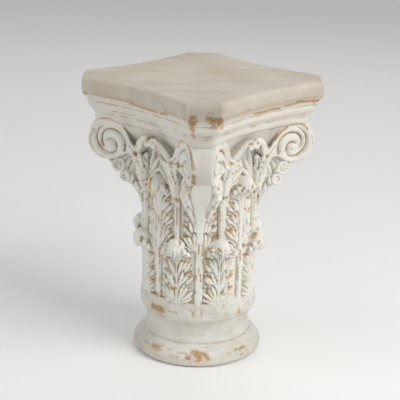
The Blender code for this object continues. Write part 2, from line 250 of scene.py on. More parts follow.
def spread_out(values, first, second, count, rounds):
    """Values averaged with those of the points beside them, over and over."""
    number = np.bincount(first, minlength=count) + np.bincount(second, minlength=count)
    for _ in range(rounds):
        total = np.zeros_like(values)
        for axis in range(values.shape[1]):
            total[:, axis] = (np.bincount(first, values[second, axis], count)
                              + np.bincount(second, values[first, axis], count))
        values = 0.5 * values + 0.5 * total / number[:, None]
    return values


def new_mesh(name, points, quads, fans):
    """A smooth mesh from points in millimetres."""
    mesh = bpy.data.meshes.new(name)
    mesh.from_pydata((points * MM).tolist(), [], quads.tolist() + fans.tolist())
    mesh.shade_smooth()
    mesh.update()
    return mesh


def wear_measures(mesh, points, fine=3, broad=16):
    """How deep each point lies in a fine crevice and in a wide hollow; below 0 it is on an edge."""
    count = len(points)
    normals = np.empty(3 * count, np.float32)
    mesh.vertices.foreach_get("normal", normals)
    normals = normals.reshape(-1, 3)
    ends = np.empty(2 * len(mesh.edges), np.int32)
    mesh.edges.foreach_get("vertices", ends)
    first, second = ends.reshape(-1, 2).T
    near = spread_out(points, first, second, count, fine)
    wide = spread_out(near, first, second, count, broad)
    return {"crevice": np.einsum('ij,ij->i', near - points, normals),
            "hollow": np.einsum('ij,ij->i', wide - points, normals)}


def wear_marks():
    """All marks of wear and of painted shade, by the measure that they feed."""
    carved = carving_marks()
    return {"rubbed": with_back(RUBBED) + carved[::3] + carved[1::3],
            "stains_and_painted_shadow": with_back(STAINS_AND_PAINTED_SHADOW) + carved[2::3], "shaded": with_back(PAINTED_SHADE_AND_GRIME)}


def add_piece(name, body, material, measures=None):
    """A closed piece of the casting, with its crevices, edges, marks of wear and painted shade kept at every
    point.
    """
    points, quads, fans = body
    mesh = new_mesh(name, points, quads, fans)
    measures = dict(measures or wear_measures(mesh, points))
    measures.update((label, blobs(points, marks)) for label, marks in wear_marks().items())
    for label, values in measures.items():
        mesh.attributes.new(label, 'FLOAT', 'POINT').data.foreach_set(
            "value", np.ascontiguousarray(values, np.float32))
    mesh.materials.append(material)
    item = bpy.data.objects.new(name, mesh)
    bpy.context.scene.collection.objects.link(item)
    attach(item, "root")
    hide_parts(NODE)
    return item


# Marks on the visible sides: the size, the strength and the places of each line, in millimetres. The first
# list is wear that shows the ochre body; the second is dark glaze stains, with painted shadow in a few lines
# down the sides of strips and stalks; the third is wide soft greyer patches of painted shade, partly grime.
RUBBED = [
    (3, 0.4, [(-120, -158, 455), (-75, -150, 455), (-22, -145, 455), (38, -144, 455), (75, -151, 456),
     (118, -156, 456)]),
    (3, 0.45, [(155, -118, 456), (148, -60, 456), (144, -10, 456), (146, 40, 456), (151, 80, 456),
     (158, 122, 456)]),
    (5, 0.34, [(-66, -86, 18), (-30, -106, 14), (10, -110, 13), (50, -99, 13), (84, -70, 14),
     (104, -30, 16), (106, 10, 20)]),
    (1.6, 0.55, [(-75, -150, 453), (-60, -148, 453), (-45, -146, 453), (-22, -145, 454)]),
    (3, 0.75, [(-19, -144, 452), (2, -142, 450), (20, -142, 449), (38, -143, 449)]),
    (2.6, 0.8, [(49, -143, 448), (68, -149, 452)]), (1.8, 0.6, [(-68, -137, 428), (-58, -137, 429)]),
    (1.8, 0.6, [(-50, -136, 429), (-34, -134, 429)]), (1.4, 0.5, [(-32, -134, 429), (-16, -135, 432)]),
    (2.8, 0.95, [(-116, -158, 453)]), (1.5, 0.6, [(-110, -156, 454)]),
    (1.2, 0.5, [(57.9, -149.7, 468.6), (65.6, -150.5, 460.6), (75.1, -151, 456.2)]),
    (1.5, 0.5, [(80, -152, 456), (96, -154, 456)]), (1.5, 0.5, [(114, -154, 449)]),
    (4, 1.2, [(128, -152, 456), (124, -148, 447)]), (2.4, 1.1, [(145, -135, 458), (150, -128, 454)]),
    (3.4, 1.2, [(150, -128, 454), (158, -121, 454), (154, -118, 448)]),
    (2.4, 0.85, [(120, -146, 439), (122, -144, 436)]), (1.8, 0.8, [(119, -142, 429), (117, -136, 422)]),
    (2.6, 0.8, [(143, -124, 442), (148, -107, 440)]), (2.6, 0.65, [(155, -124, 456), (151, -110, 445)]),
    (1.5, 0.5, [(145, -136, 466), (150, -131, 466)]),
    (2, 0.85, [(140, -25, 446), (139, -5, 445), (140, 13, 446), (140, 34, 446)]),
    (2.6, 0.75, [(142, 44, 448), (145, 61, 449), (147, 70, 450)]),
    (2.2, 0.95, [(149, 68, 453), (150, 87, 450), (152, 105, 449), (154, 116, 448)]),
    (1.8, 0.6, [(150, 108, 444), (149, 114, 439)]), (1.6, 0.5, [(127, -3, 422)]),
    (1.1, 0.75, [(-101.3, -135.7, 409.7), (-84.3, -133.1, 412.9), (-70.6, -129.9, 409.6),
     (-63.3, -121.1, 402.8), (-57.5, -113, 390.7), (-54.1, -104.9, 378.1)]),
    (1.5, 0.9, [(-54, -105, 378), (-33, -116, 373)]),
    (1.2, 0.6, [(-113, -140.9, 391.1), (-118.3, -143.5, 376.8), (-119, -142.9, 366.2),
     (-117.1, -139.1, 353.8), (-110.9, -134.2, 345), (-102, -128.7, 341.2)]),
    (1.4, 0.55, [(-111, -140, 390), (-112, -139, 384)]),
    (1.2, 0.75, [(-104.3, -131, 368.8), (-100.7, -129.8, 362.5)]),
    (1.1, 0.8, [(129.4, 71.1, 408.5), (131.6, 81.1, 409.2), (134.3, 95.9, 408.1), (136.4, 103.9, 404.8),
     (139.6, 109.7, 397.1)]), (1.4, 0.9, [(124, 75, 404), (120, 65, 397), (116, 56, 386), (104, 54, 370)]),
    (1, 0.5, [(143.1, 117.3, 386.1), (143.6, 120.4, 368.4)]),
    (1, 0.45, [(119.3, 98.2, 335.9), (132.6, 107.8, 344)]), (1.2, 0.6, [(117.8, 67.5, 362.3)]),
    (1, 0.7, [(63.9, -119.2, 392.2), (71.6, -122.7, 402.6), (89.5, -134, 411.7), (99.1, -134.7, 408.2),
     (109.5, -138.4, 402.3)]),
    (1.2, 0.85, [(111.1, -138.8, 401.1), (116.6, -142, 393.4), (121.2, -143.1, 385), (123.6, -143, 372.8)]),
    (2.4, 1, [(123, -141, 363), (115, -134, 346)]),
    (1.2, 0.8, [(91.2, -115.9, 332.8), (99, -119.4, 336.2)]),
    (1, 0.5, [(126.9, -82, 403.6), (122, -70.9, 396.5), (118.7, -60.2, 388.1)]),
    (1.8, 0.95, [(134, -103, 388), (141, -114, 382), (141, -116, 371)]),
    (1.2, 0.6, [(132.3, -105.3, 364), (127.5, -98.8, 355)]), (2.4, 1, [(-4, -121, 391), (-2, -118, 393)]),
    (1, 0.6, [(-30.6, -114.5, 398.2), (-23.3, -118.9, 385.3)]), (2.8, 1, [(-38, -114, 358)]),
    (1.2, 0.7, [(-28, -110.9, 359.1), (-28, -108.7, 353.6)]),
    (1.3, 0.8, [(-25.2, -105.7, 353.7), (-25.2, -102.2, 347.8)]), (1.6, 0.7, [(-63, -101, 335)]),
    (1.6, 0.7, [(-40, -113, 344)]), (2, 0.65, [(45, -116, 361), (61, -115, 364)]),
    (1.5, 0.8, [(50, -106, 341)]), (1.2, 0.7, [(50.5, -102.5, 331.2), (48.9, -99.6, 322.7)]),
    (1.2, 0.7, [(47.4, -96.7, 311.5), (63.3, -105.7, 317.3)]), (1.6, 0.8, [(15, -97, 315), (15, -93, 314)]),
    (1.6, 0.7, [(27, -103, 305)]), (1.6, 0.8, [(8, -94, 292), (20, -93, 294)]), (2, 0.7, [(-55, -79, 266)]),
    (2, 0.7, [(-35, -95, 276)]), (1.8, 0.6, [(-19, -96, 272)]), (1.8, 0.7, [(-13, -94, 265)]),
    (1.5, 0.7, [(-36, -95, 290)]), (1.2, 0.6, [(-53.8, -94.4, 294.6), (-52, -92.7, 298.2)]),
    (1.2, 0.8, [(-28.7, -97.5, 315.1), (-18.7, -109, 309.4)]),
    (1.8, 1, [(0, -115, 326), (-1, -117, 315), (-1, -115, 308)]), (3, 1, [(40, -96, 294)]),
    (0.9, 0.75, [(39.4, -93.8, 279), (39, -93.1, 264.1), (39.2, -92.9, 249.4)]),
    (1.4, 0.7, [(7, -97, 266), (8, -94, 262)]), (1.4, 0.6, [(13, -95, 266), (22, -93, 270)]),
    (1, 0.7, [(5.5, -96, 262.3), (9.6, -97.5, 253.2)]),
    (0.9, 0.7, [(0.6, -97.5, 257.8), (0.1, -97.5, 243.7)]), (1.3, 0.7, [(5.9, -96, 240.5)]),
    (1.2, 0.7, [(12.8, -96.9, 238.1)]), (1.8, 0.75, [(23, -90, 222), (36, -98, 227)]),
    (2, 0.8, [(48, -94, 224), (51, -96, 221)]), (2, 0.65, [(45, -81, 269), (50, -82, 272)]),
    (1.5, 0.7, [(45, -81, 256)]), (1.4, 0.7, [(49, -83, 250), (50, -80, 242)]),
    (1.6, 0.7, [(51, -82, 240)]), (1.8, 0.7, [(52, -80, 215)]),
    (2.2, 0.95, [(-31, -106, 213), (-31, -106, 208)]),
    (1.3, 0.7, [(-23.9, -94.9, 208.3), (-18.5, -95.3, 202.7)]),
    (1.3, 0.7, [(-14.3, -95.8, 198.6), (-15.5, -94.6, 192.6)]),
    (1.2, 0.8, [(-27.1, -90.4, 183.8), (-18.4, -92.8, 187.7)]),
    (1.3, 0.7, [(-16.1, -92.6, 173.9), (-18.2, -90.5, 167.3)]),
    (1.4, 0.8, [(-22, -95, 159), (-18, -92, 159)]), (1.2, 0.8, [(2.3, -97.7, 201.9), (3.2, -97.6, 186.1)]),
    (1.2, 0.6, [(3.6, -97.5, 184.3), (3.6, -97.4, 173.6)]), (1, 0.6, [(4, -97.4, 152.1), (4, -97.2, 143)]),
    (1, 0.8, [(18.9, -95, 189.8), (26, -93.6, 185.3), (30.4, -91.9, 177.2)]),
    (1.6, 0.75, [(14, -93, 166), (22, -95, 171)]), (1.2, 0.8, [(22.9, -94.9, 167.8), (27.2, -93.1, 161.4)]),
    (1.2, 0.7, [(37.4, -88.4, 177.4), (37.5, -88.1, 164.9)]), (1.4, 0.7, [(40, -84, 162)]),
    (1.5, 0.7, [(16, -95, 151)]), (1.2, 0.8, [(30.3, -90.2, 154.3), (36, -90.9, 147.3)]),
    (1.2, 0.8, [(18.2, -94.5, 141.1), (25.3, -94.2, 136), (27.1, -93.7, 134.6)]),
    (1.8, 0.8, [(28, -92, 134), (36, -91, 137)]), (1.4, 0.7, [(46, -85, 140), (48, -84, 138)]),
    (1, 0.7, [(51.8, -80.4, 133), (50.6, -80.2, 127.1)]),
    (1.4, 0.8, [(44, -83, 188), (50, -83, 193), (54, -75, 191)]), (1.5, 0.8, [(55, -75, 179)]),
    (1.8, 0.9, [(49, -81, 162), (53, -78, 167)]), (1.3, 0.8, [(55.2, -74.2, 169), (55.4, -74.2, 164.6)]),
    (1.2, 0.7, [(57.3, -75.7, 151.3)]), (0.7, 0.85, [(68, -70, 219), (68, -70, 201)]),
    (0.8, 0.95, [(71.8, -64.2, 232), (72.7, -63.9, 213), (72.1, -65.6, 199.2)]),
    (1.2, 0.6, [(72.1, -64, 237.3), (74.7, -58.4, 236.7)]),
    (0.9, 0.7, [(68.8, -69.7, 176.3), (68.9, -69.6, 169.2)]), (0.9, 0.85, [(71, -68, 166), (72, -67, 153)]),
    (1.8, 0.7, [(116, -54, 365), (114, -40, 360)]), (1.4, 0.8, [(108, -39, 343), (98, -17, 342)]),
    (1.4, 0.7, [(105, 31, 346), (108, 32, 340)]), (1, 0.7, [(113.7, 31.6, 352.8), (111.4, 33.4, 346.8)]),
    (1.2, 0.6, [(95.7, 56.5, 315.2)]), (2, 0.8, [(116, 37, 359)]),
    (1.2, 0.8, [(116.3, 5.6, 395.4), (120.7, 5.9, 389.6), (111.6, 22.8, 376.1)]),
    (1.4, 0.8, [(120, -13, 389), (121, -4, 391)]), (2.4, 1, [(118, 2, 315)]), (2.4, 1, [(93, 33, 294)]),
    (1.1, 0.8, [(109.3, 17.7, 316.8), (98.9, 33.8, 300.6)]),
    (1.2, 0.75, [(94.9, -21, 314.6), (90.9, -17.6, 306)]), (1.4, 0.65, [(124, -87, 331), (109, -68, 323)]),
    (1.8, 0.95, [(97, -47, 302), (99, -38, 301)]),
    (1.3, 0.85, [(93.6, -61.2, 293.9), (98.2, -59.3, 299.7)]),
    (1.2, 0.8, [(87, -62.3, 285.6), (93.6, -67, 291.8)]), (1.4, 0.85, [(82, -51, 261), (81, -44, 262)]),
    (1.4, 0.75, [(95, -19, 269), (96, -13, 261)]), (1.4, 0.6, [(93, -20, 257), (95, -18, 255)]),
    (0.9, 0.65, [(96.1, -6.8, 266.8), (96.6, -3.9, 245.3)]), (1.4, 0.75, [(90, -26, 240), (95, -21, 243)]),
    (1.6, 0.8, [(96, -12, 237)]), (1.4, 0.65, [(93, 16, 238)]),
    (1.2, 0.5, [(92.8, -38.9, 256), (86.9, -32.2, 242.4)]),
    (1.2, 0.6, [(92.6, 35, 244.9), (81.8, 52.2, 240)]), (1.2, 0.6, [(50.4, 107.3, 204.3)]),
    (1.2, 0.55, [(90.9, 33.2, 267.1), (93.4, 34.5, 262.1)]), (2.8, 1, [(99, 28, 217), (100, 32, 222)]),
    (1, 0.65, [(109.7, 40.2, 217), (110.1, 45.3, 208.7)]), (2.2, 0.95, [(96, 8, 205), (94, 20, 204)]),
    (1.5, 0.9, [(96, -14, 207), (109, -28, 205)]), (2, 0.85, [(100, -56, 215), (103, -55, 213)]),
    (1.2, 0.6, [(107.9, -49.5, 213.9)]), (1.7, 0.95, [(78, -58, 211), (92, -64, 210)]),
    (1.1, 0.9, [(75, -61, 208), (82, -66, 204)]), (1.6, 0.8, [(73, -56, 192)]),
    (1.3, 0.85, [(97.7, -1.7, 199), (97.6, -0.7, 180.9)]),
    (1.1, 0.65, [(96, -4, 172.3), (96.2, -4, 158.8), (96.6, -4.1, 145.4)]),
    (1.2, 0.65, [(91.8, 12.8, 159.4), (92.4, 17.3, 154.8)]),
    (1.2, 0.65, [(94.4, 20.2, 154.6), (93.4, 26.4, 152.6)]),
    (1, 0.6, [(87, 43.2, 161), (87.5, 41.8, 152.3)]), (1.5, 1, [(77, -59, 162), (81, -52, 159)]),
    (1.2, 0.7, [(84, -48.5, 157.3)]), (1.4, 0.8, [(75, -57, 148), (80, -56, 147)]),
    (1.4, 0.85, [(78, -57, 136), (82, -50, 128)]), (1.6, 1, [(93, -28, 156), (91, -14, 159)]),
    (1.3, 0.75, [(94.1, -23.1, 133.6), (91.7, -14.5, 135)]), (1.4, 0.8, [(90, -33, 132), (92, -32, 126)]),
    (1.4, 0.7, [(94, -26, 128)]), (0.9, 0.65, [(88.2, -36.9, 146.4), (86.6, -34.4, 127.2)]),
    (1, 0.7, [(89.1, -40.2, 176.2), (88.4, -38.4, 168.4)]),
    (0.9, 0.55, [(90.8, -34, 159), (91.3, -32.9, 148)]),
    (4.6, 1, [(-9, -99, 93), (5, -99, 94), (12, -99, 92)]), (1.8, 0.8, [(10, -99, 91), (18, -98, 91)]),
    (1.5, 0.75, [(-1, -99, 84), (10, -97, 81), (19, -96, 82)]),
    (1.5, 0.65, [(26, -96, 95), (33, -94, 94), (40, -91, 93)]),
    (1.5, 0.6, [(24, -94, 108), (29, -92, 113)]), (1.3, 0.6, [(47, -84.4, 110.9), (54.7, -80.4, 114)]),
    (1.6, 0.8, [(64, -76, 97), (65, -76, 92)]), (1, 0.6, [(65.8, -72.3, 106.1), (67.3, -72.4, 99.4)]),
    (1.4, 0.85, [(74, -66, 97), (74, -66, 91)]), (1.1, 0.7, [(91.7, -31.7, 108), (92.5, -32.3, 103)]),
    (1.9, 0.9, [(99, -2, 93), (99, 0, 86)]), (2, 0.5, [(94, -33, 90), (96, -26, 89)]),
    (3.6, 0.75, [(-2, -105, 24), (10, -104, 24)]), (2.5, 0.5, [(5, -108, 19), (17, -105, 21)]),
    (1.4, 0.55, [(12, -101, 27), (19, -98, 29)]), (1.4, 0.6, [(-28, -101, 24), (-13, -105, 23)]),
    (1.5, 0.55, [(30, -99, 25), (34, -95, 27)]), (1, 0.6, [(47, -94.1, 23), (58.3, -86.3, 24.5)]),
    (1, 0.6, [(36.6, -102.8, 17.6), (51.9, -96.4, 17.1)]), (1.8, 0.95, [(63, -89, 18), (68, -86, 17)]),
    (1.4, 0.65, [(59, -87, 24), (68, -84, 20)]), (2.8, 0.95, [(67, -78, 26), (72, -73, 26)]),
    (3.2, 1, [(72, -76, 23), (79, -74, 19)]), (2.2, 0.95, [(79, -74, 19), (81, -75, 15)]),
    (2.4, 0.9, [(77, -69, 25), (84, -64, 23)]), (2.4, 0.95, [(85, -65, 21), (90, -63, 17)]),
    (1.2, 0.8, [(75.1, -81.3, 13.9), (81.9, -73.8, 14.8)]),
    (1, 0.5, [(72.9, -62.8, 32.2), (79.5, -55, 32)]), (1.4, 0.8, [(104, -14, 23), (105, -8, 23)]),
    (1.5, 0.8, [(106, -6, 22), (105, 8, 23)]), (1, 0.65, [(110.7, -5.7, 13.9), (110.6, 2, 14.3)]),
    (1.3, 0.7, [(110.4, 13.8, 12.3)]), (0.8, 0.5, [(101.9, -31.5, 21.1), (103.3, -23, 22.6)]),
]
# Stains of dark glaze; a few long lines, down the sides of strips and stalks, are painted shadow.
STAINS_AND_PAINTED_SHADOW = [
    (2.2, 0.95, [(124, -154, 453), (132, -145, 451)]), (1.6, 0.5, [(126, -154, 474), (127, -153, 460)]),
    (2.4, 0.6, [(133, -148, 465)]), (2.2, 0.95, [(143, -137, 458), (143, -134, 453)]),
    (2, 0.9, [(143, -131, 450), (148, -122, 446)]), (2.2, 0.65, [(153, -123, 451), (157, -121, 453)]),
    (1.4, 0.8, [(148, -48, 458)]), (1, 0.8, [(147.3, -54.8, 452.8)]), (1.2, 0.7, [(141.9, -51, 446.4)]),
    (1.3, 0.7, [(148.9, 75.4, 451)]), (1.3, 0.7, [(151.4, 103, 448.6), (153.6, 115.9, 447.7)]),
    (1.2, 0.5, [(-57.5, -113, 390.7), (-54.1, -104.9, 378.1), (-32.8, -115.6, 372.6)]),
    (1.2, 0.6, [(120.3, 64.9, 396.7), (116, 55.5, 385.5), (104.1, 53.8, 370.5)]),
    (1.4, 0.8, [(-40, -119, 360), (-39, -117, 356)]), (1.5, 0.8, [(-2, -111, 394), (13, -117, 396)]),
    (1, 0.8, [(16.1, -117.3, 394.9), (26.8, -114.1, 388.3), (36.4, -112.1, 378.4), (41.9, -110.6, 371)]),
    (2.2, 0.8, [(-6, -99, 355)]), (2, 0.85, [(62, -115, 365), (75, -120, 364)]),
    (1.6, 0.85, [(43, -110, 344)]), (2, 0.85, [(53, -102, 344), (52, -99, 338)]),
    (1.6, 0.7, [(79, -116, 332), (90, -122, 334)]), (1.8, 0.9, [(58, -78, 234)]),
    (1.8, 0.85, [(-10, -92, 149)]), (1.6, 0.8, [(73, -57, 199), (74, -57, 189)]),
    (1.8, 0.8, [(-3, -98, 121), (0, -98, 113)]), (2.2, 0.85, [(122, -75, 372), (120, -69, 365)]),
    (1.6, 0.8, [(114, -33, 365)]), (1.6, 0.8, [(98, -13, 350)]),
    (1.2, 0.8, [(108.6, -38.2, 344.2), (96.6, -20.4, 339.6)]), (1.2, 0.7, [(120.3, -77.6, 353.2)]),
    (2, 0.85, [(114, 37, 360)]), (2, 0.85, [(104, -15, 317), (108, -14, 309)]),
    (1.8, 0.8, [(111, -12, 315)]), (1.6, 0.85, [(88, 27, 292)]),
    (1.4, 0.8, [(90, -21, 310), (91, -21, 300)]), (1.2, 0.8, [(113.3, -77.9, 314.2)]),
    (1.2, 0.8, [(95.7, -48.6, 301.9)]), (1.6, 0.85, [(79, -58, 264), (81, -55, 262)]),
    (1.8, 0.85, [(92, -21, 270)]), (1.3, 0.75, [(53.9, 89, 204.9)]), (1.4, 0.65, [(93, 39, 274)]),
    (1.8, 0.75, [(98, -57, 210), (101, -55, 206)]), (1.1, 0.85, [(74, -62, 209), (72, -57, 202)]),
    (1.2, 0.75, [(82.1, -50, 183)]),
    (0.9, 0.8, [(72, -58, 181), (72, -57, 168), (75, -60, 157), (75, -59, 144), (74, -58, 130),
     (76, -59, 118)]),
    (1.3, 0.5, [(89.1, -44.4, 289.1), (89.4, -44.2, 274.9), (89.3, -43.5, 260.4), (90.1, -43.8, 246.4),
     (90.4, -43.6, 232.1)]), (1, 0.7, [(87.4, -41.8, 109.6)]), (0.9, 0.7, [(96.2, 26.4, 92.7)]),
    (1.4, 0.8, [(64, -88, 19), (67, -86, 17)]), (1, 0.6, [(84.9, -71.8, 287.3), (78, -66.4, 267.2)]),
    (1.2, 0.6, [(24.1, -89.2, 282.8), (25.8, -89.6, 276.4)]),
    (1.2, 0.6, [(25.2, -88.9, 270.9), (25.4, -88.9, 264)]),
    (1.2, 0.6, [(26.4, -88.6, 258.9), (26, -90.4, 250.5)]),
    (1.2, 0.6, [(26.4, -88.2, 239.6), (29, -91.7, 232.4)]),
    (1.3, 0.6, [(39.6, -84.1, 294.1), (39.3, -85.7, 284.1)]), (1.2, 0.6, [(-55.6, -79.9, 267.1)]),
    (1.6, 0.7, [(5, -94, 124), (-1, -98, 112)]),
]
# Painted shade, partly grime: wide soft greyer patches in the recesses under the slab and its moulding, on
# the front rim and on the dimmer parts of the foot and neck, with grime on the slab's cut front corner and
# sides.
PAINTED_SHADE_AND_GRIME = [
    (26, 0.45, [(98, -98, 480), (112, -112, 480), (128, -128, 480)]),
    (6, 0.35, [(-60, -76, 104), (-30, -92, 104), (10, -97, 104), (50, -83, 104), (84, -50, 104)]),
    (5, 0.5, [(-36, -83, 70), (0, -91, 72), (40, -82, 72), (76, -50, 72)]),
    (14, 0.5, [(-68, -62, 60), (-76, -50, 60)]), (12, 0.5, [(-90, -66, 20), (-101, -48, 20)]),
    (3, 1.3, [(145, -135, 458), (150, -128, 454)]), (16, 0.75, [(131, -131, 398), (131, -131, 352)]),
    (13, 1.3, [(130, -150, 466), (139, -142, 466), (147, -133, 466), (156, -125, 466)]),
    (9, 0.45, [(158, -110, 462), (148, -50, 462), (146, 0, 462), (150, 60, 462), (160, 125, 462)]),
    (9, 0.25, [(-125, -160, 462), (-60, -150, 462), (0, -146, 462), (60, -150, 462), (115, -158, 462)]),
    (26, 0.45, [(110, 6, 22), (98, 52, 22), (80, 78, 22)]),
    (5, 0.5, [(120, -136, 398), (131, -127, 396), (141, -118, 394)]), (38, 0.6, [(-40, -100, 22)]),
    (26, 0.25, [(-29, -86, 46)]), (9, 0.9, [(29, -123, 407), (28, -111, 393), (34, -105, 382)]),
    (9, 0.95, [(110, -30, 386), (114, -13, 398)]), (8, 0.65, [(-47, -124, 407)]),
    (8, 0.65, [(-52, -107, 382)]), (8, 0.6, [(115, 49, 396), (124, 50, 406)]),
    (10, 0.35, [(-91, -54, 224), (-91, -59, 213)]), (12, 0.3, [(-84, -118, 329)]),
    (8, 0.4, [(-19, -95, 365), (-8, -93, 357)]), (8, 0.4, [(96, 10, 367), (95, 14, 352)]),
    (9, 0.35, [(112, -10, 323)]), (9, 0.3, [(9, -109, 326)]),
]


def with_back(marks):
    """The marks with every second one of them again on the two sides that the photo hides."""
    return marks + [(radius, 0.9 * strength, [(-x, -y, z) for x, y, z in places])
                    for radius, strength, places in marks[::2]]


def blobs(points, marks):
    """Share of each point that lies in soft marks, each a size, a strength and the places of its line."""
    share = np.zeros(len(points))
    low, high = points.min(axis=0), points.max(axis=0)
    for size, strength, places in marks:
        radius = 0.7 + 1.45 * size
        reach = 2.6 * radius
        if (np.min(places, axis=0) > high + reach).any() or (np.max(places, axis=0) < low - reach).any():
            continue
        for first, second in zip(places, places[1:] or places):
            first, way = np.array(first, float), np.subtract(second, first)
            boxed = np.abs(points - first - 0.5 * way) < np.abs(0.5 * way) + reach
            near = np.nonzero(boxed.all(axis=1))[0]
            gap = points[near] - first
            gap -= np.clip(gap @ way / max(way @ way, 0.01), 0, 1)[:, None] * way
            soft = strength * np.exp(-(gap ** 2).sum(axis=1) / radius ** 2)
            share[near] = np.maximum(share[near], soft)
    return share


def slab_outline(inset, soft, count):
    """Outline of the slab, set in from its widest level, with its arrises rounded."""
    s = sizes()
    reach, half, hollow = s.slab_reach / MM, s.corner_half_width / MM, s.side_hollow / MM
    half_side = (reach + half) / math.sqrt(2) - inset
    corner = reach - inset
    half_length = math.sqrt(2) * corner - half_side
    bend = (half_length ** 2 + hollow ** 2) / (2 * hollow)
    half_angle = math.asin(half_length / bend)
    swing = half_angle * np.linspace(-1, 1, 121)
    side = np.stack([half_side - hollow + bend * (1 - np.cos(swing)), bend * np.sin(swing),
                     np.zeros_like(swing)], axis=1)
    line = resample(np.vstack([turned(side, turn) for turn in SIDES]), count, closed=True)
    length = np.linalg.norm(np.roll(line, -1, axis=0) - line, axis=1).sum()
    offsets = np.arange(count)
    away = np.minimum(offsets, count - offsets) * length / count
    weight = np.exp(-0.5 * (away / soft) ** 2)
    weight = np.fft.fft(weight / weight.sum())
    return np.stack([np.fft.ifft(np.fft.fft(line[:, axis]) * weight).real for axis in range(3)], axis=1)


# The slab and its moulding, from the top down: reach at the corners and height
SLAB_LEVELS = [(188, 480), (192, 480), (194, 479.7), (195.6, 478.7), (196.8, 477), (197.7, 474.5),
               (198.2, 471), (198.5, 467), (198.5, 464), (198.2, 460), (197.5, 456), (196.7, 453.2),
               (195.7, 451.5), (194.2, 450), (192.4, 448), (190.9, 445.6), (190.3, 443.7), (189.2, 442.4),
               (188.2, 441), (188, 438), (187.8, 434.5), (187, 432), (185.2, 429.4), (182.7, 427),
               (180.4, 424.6), (178.6, 421.8), (177.6, 418.6), (177.4, 415), (177.0, 411.4), (175.6, 408),
               (172.8, 405.6), (169.4, 404.4), (167, 401), (161, 391), (153, 378), (143, 358)]


def slab_body():
    """The top slab and its moulding as one closed body."""
    reach = sizes().slab_reach / MM
    rings = []
    for distance, height in resample(np.array(SLAB_LEVELS, float), 76):
        ring = slab_outline(reach - distance, 1.3 + 6.5 * ease(height, 440, 408), 520)
        turn = np.arctan2(ring[:, 1], ring[:, 0]) % (math.pi / 2) - math.pi / 4
        # The foot of the moulding rises a little along the sides and dips at the corners
        dip = np.exp(-(turn / math.radians(9)) ** 2)
        ring[:, 2] = height + (2.5 - 8.0 * dip) * ease(height, 428, 410)
        rings.append(ring)
    top, bottom = rings[0], rings[-1]
    for share in (0.96, 0.85, 0.65, 0.4, 0.15):
        rings.insert(0, top * (share, share, 1))
        rings.append(bottom * (share, share, 1))
    grid = np.array(rings)
    drift = waves(grid, 3, 60)[..., None] * 0.25
    grid[..., :2] *= 1 + drift / 190
    return tube(grid)


# The turned foot, neck and collar, from the floor up: radius and height
FOOT_STATIONS = [(60, 0.0), (96, 0.0), (102.5, 0.4), (106, 1.6), (108.6, 3.6), (110.4, 6.2), (111.5, 9.2),
                 (111.2, 12.6), (110, 16), (107.6, 20), (104.6, 23.8), (101, 27.6), (97.4, 31), (94.2, 34.2),
                 (92.2, 36.4), (91.5, 37.8), (91.6, 38.9), (91.9, 40), (91.6, 41.3), (90.9, 42.6), (89.9, 46),
                 (88.6, 51), (88.2, 56), (88.6, 61), (89.6, 65), (90.9, 68.5), (92.2, 72), (93.6, 75.6),
                 (96.4, 78.8), (98.2, 81.6), (99.3, 85), (99.8, 89), (99.5, 94), (98.8, 100), (97.9, 106),
                 (96.6, 110), (94.5, 113.5), (90, 116), (60, 117)]


def foot_body():
    """The turned foot, neck and collar."""
    profile = smooth_line(FOOT_STATIONS, 90)
    turn = np.linspace(0, math.tau, 216, endpoint=False)
    radius = np.repeat(profile[:, :1], len(turn), axis=1)
    height = np.repeat(profile[:, 1:], len(turn), axis=1)
    grid = around_axis(radius, turn, height)
    drift = waves(grid, 11, 55)[..., None] * 0.35 * ease(height, 2, 8)[..., None]
    drift += waves(grid, 12, 16)[..., None] * 0.7 * ease(height, 70, 80)[..., None]
    for index, centre in enumerate(RIB_TURNS):
        u = near_turn(turn, centre)
        end = 8 + 5 * (index % 2)
        drift += (1.3 * np.exp(-(u / 7.5) ** 2) * ease(height, 92 - end, 108))[..., None]
    grid[..., :2] *= 1 + drift / radius[..., None]
    return tube(grid)


def finger(u, v, root, lean, length, half, bend=0.0):
    """Height of one pointed finger, 0 to 1, at places u across and v up a leaf.

    half is half its width, and bend how far its tip turns aside as a share of its length.
    """
    sin, cos = math.sin(lean), math.cos(lean)
    along = ((u - root[0]) * sin + (v - root[1]) * cos) / length
    across = (u - root[0]) * cos - (v - root[1]) * sin + bend * length * np.clip(along, 0, 1) ** 2
    width = half * np.interp(along, [-0.02, 0.0, 0.3, 0.65, 0.88, 1.0, 1.02],
                             [0, 0.5, 0.85, 1, 0.66, 0.12, 0])
    rise = np.interp(along, [0.0, 0.12, 0.55, 0.9, 1.0], [0.35, 0.75, 1.0, 0.85, 0.45])
    inside = 1 - (across / np.maximum(width, 0.02)) ** 2
    return np.where(width > 0.03, rise * np.sqrt(np.clip(inside, 0, None)), 0.0)


# Fingers of a leaflet: lean in degrees, share of its length, and height of the root
LEAFLET_FINGERS = [(-25, 0.90, 1.2), (-8, 1.0, 0.0), (9, 0.96, -2.0), (27, 0.76, -4.6)]
FINGER_HALF = 3.2
# Lean in degrees and length of the tongues behind the small scrolls, then of each leaf's leaflets
SPRAY_FINGERS = [(12, 66), (68, 40), (26, 68), (55, 48), (40, 58)]
LOWER_LOBES = [(53, 34), (47, 34), (41, 33), (36, 30)]
FACE_LOBES = [(52, 35), (46, 36), (42, 36), (38, 35), (33, 30)]
CORNER_LOBES = [(44, 33), (41, 34), (38, 34), (36, 32)]
FLANK_LOBES = [(44, 26), (44, 32), (44, 36), (44, 38), (42, 34)]

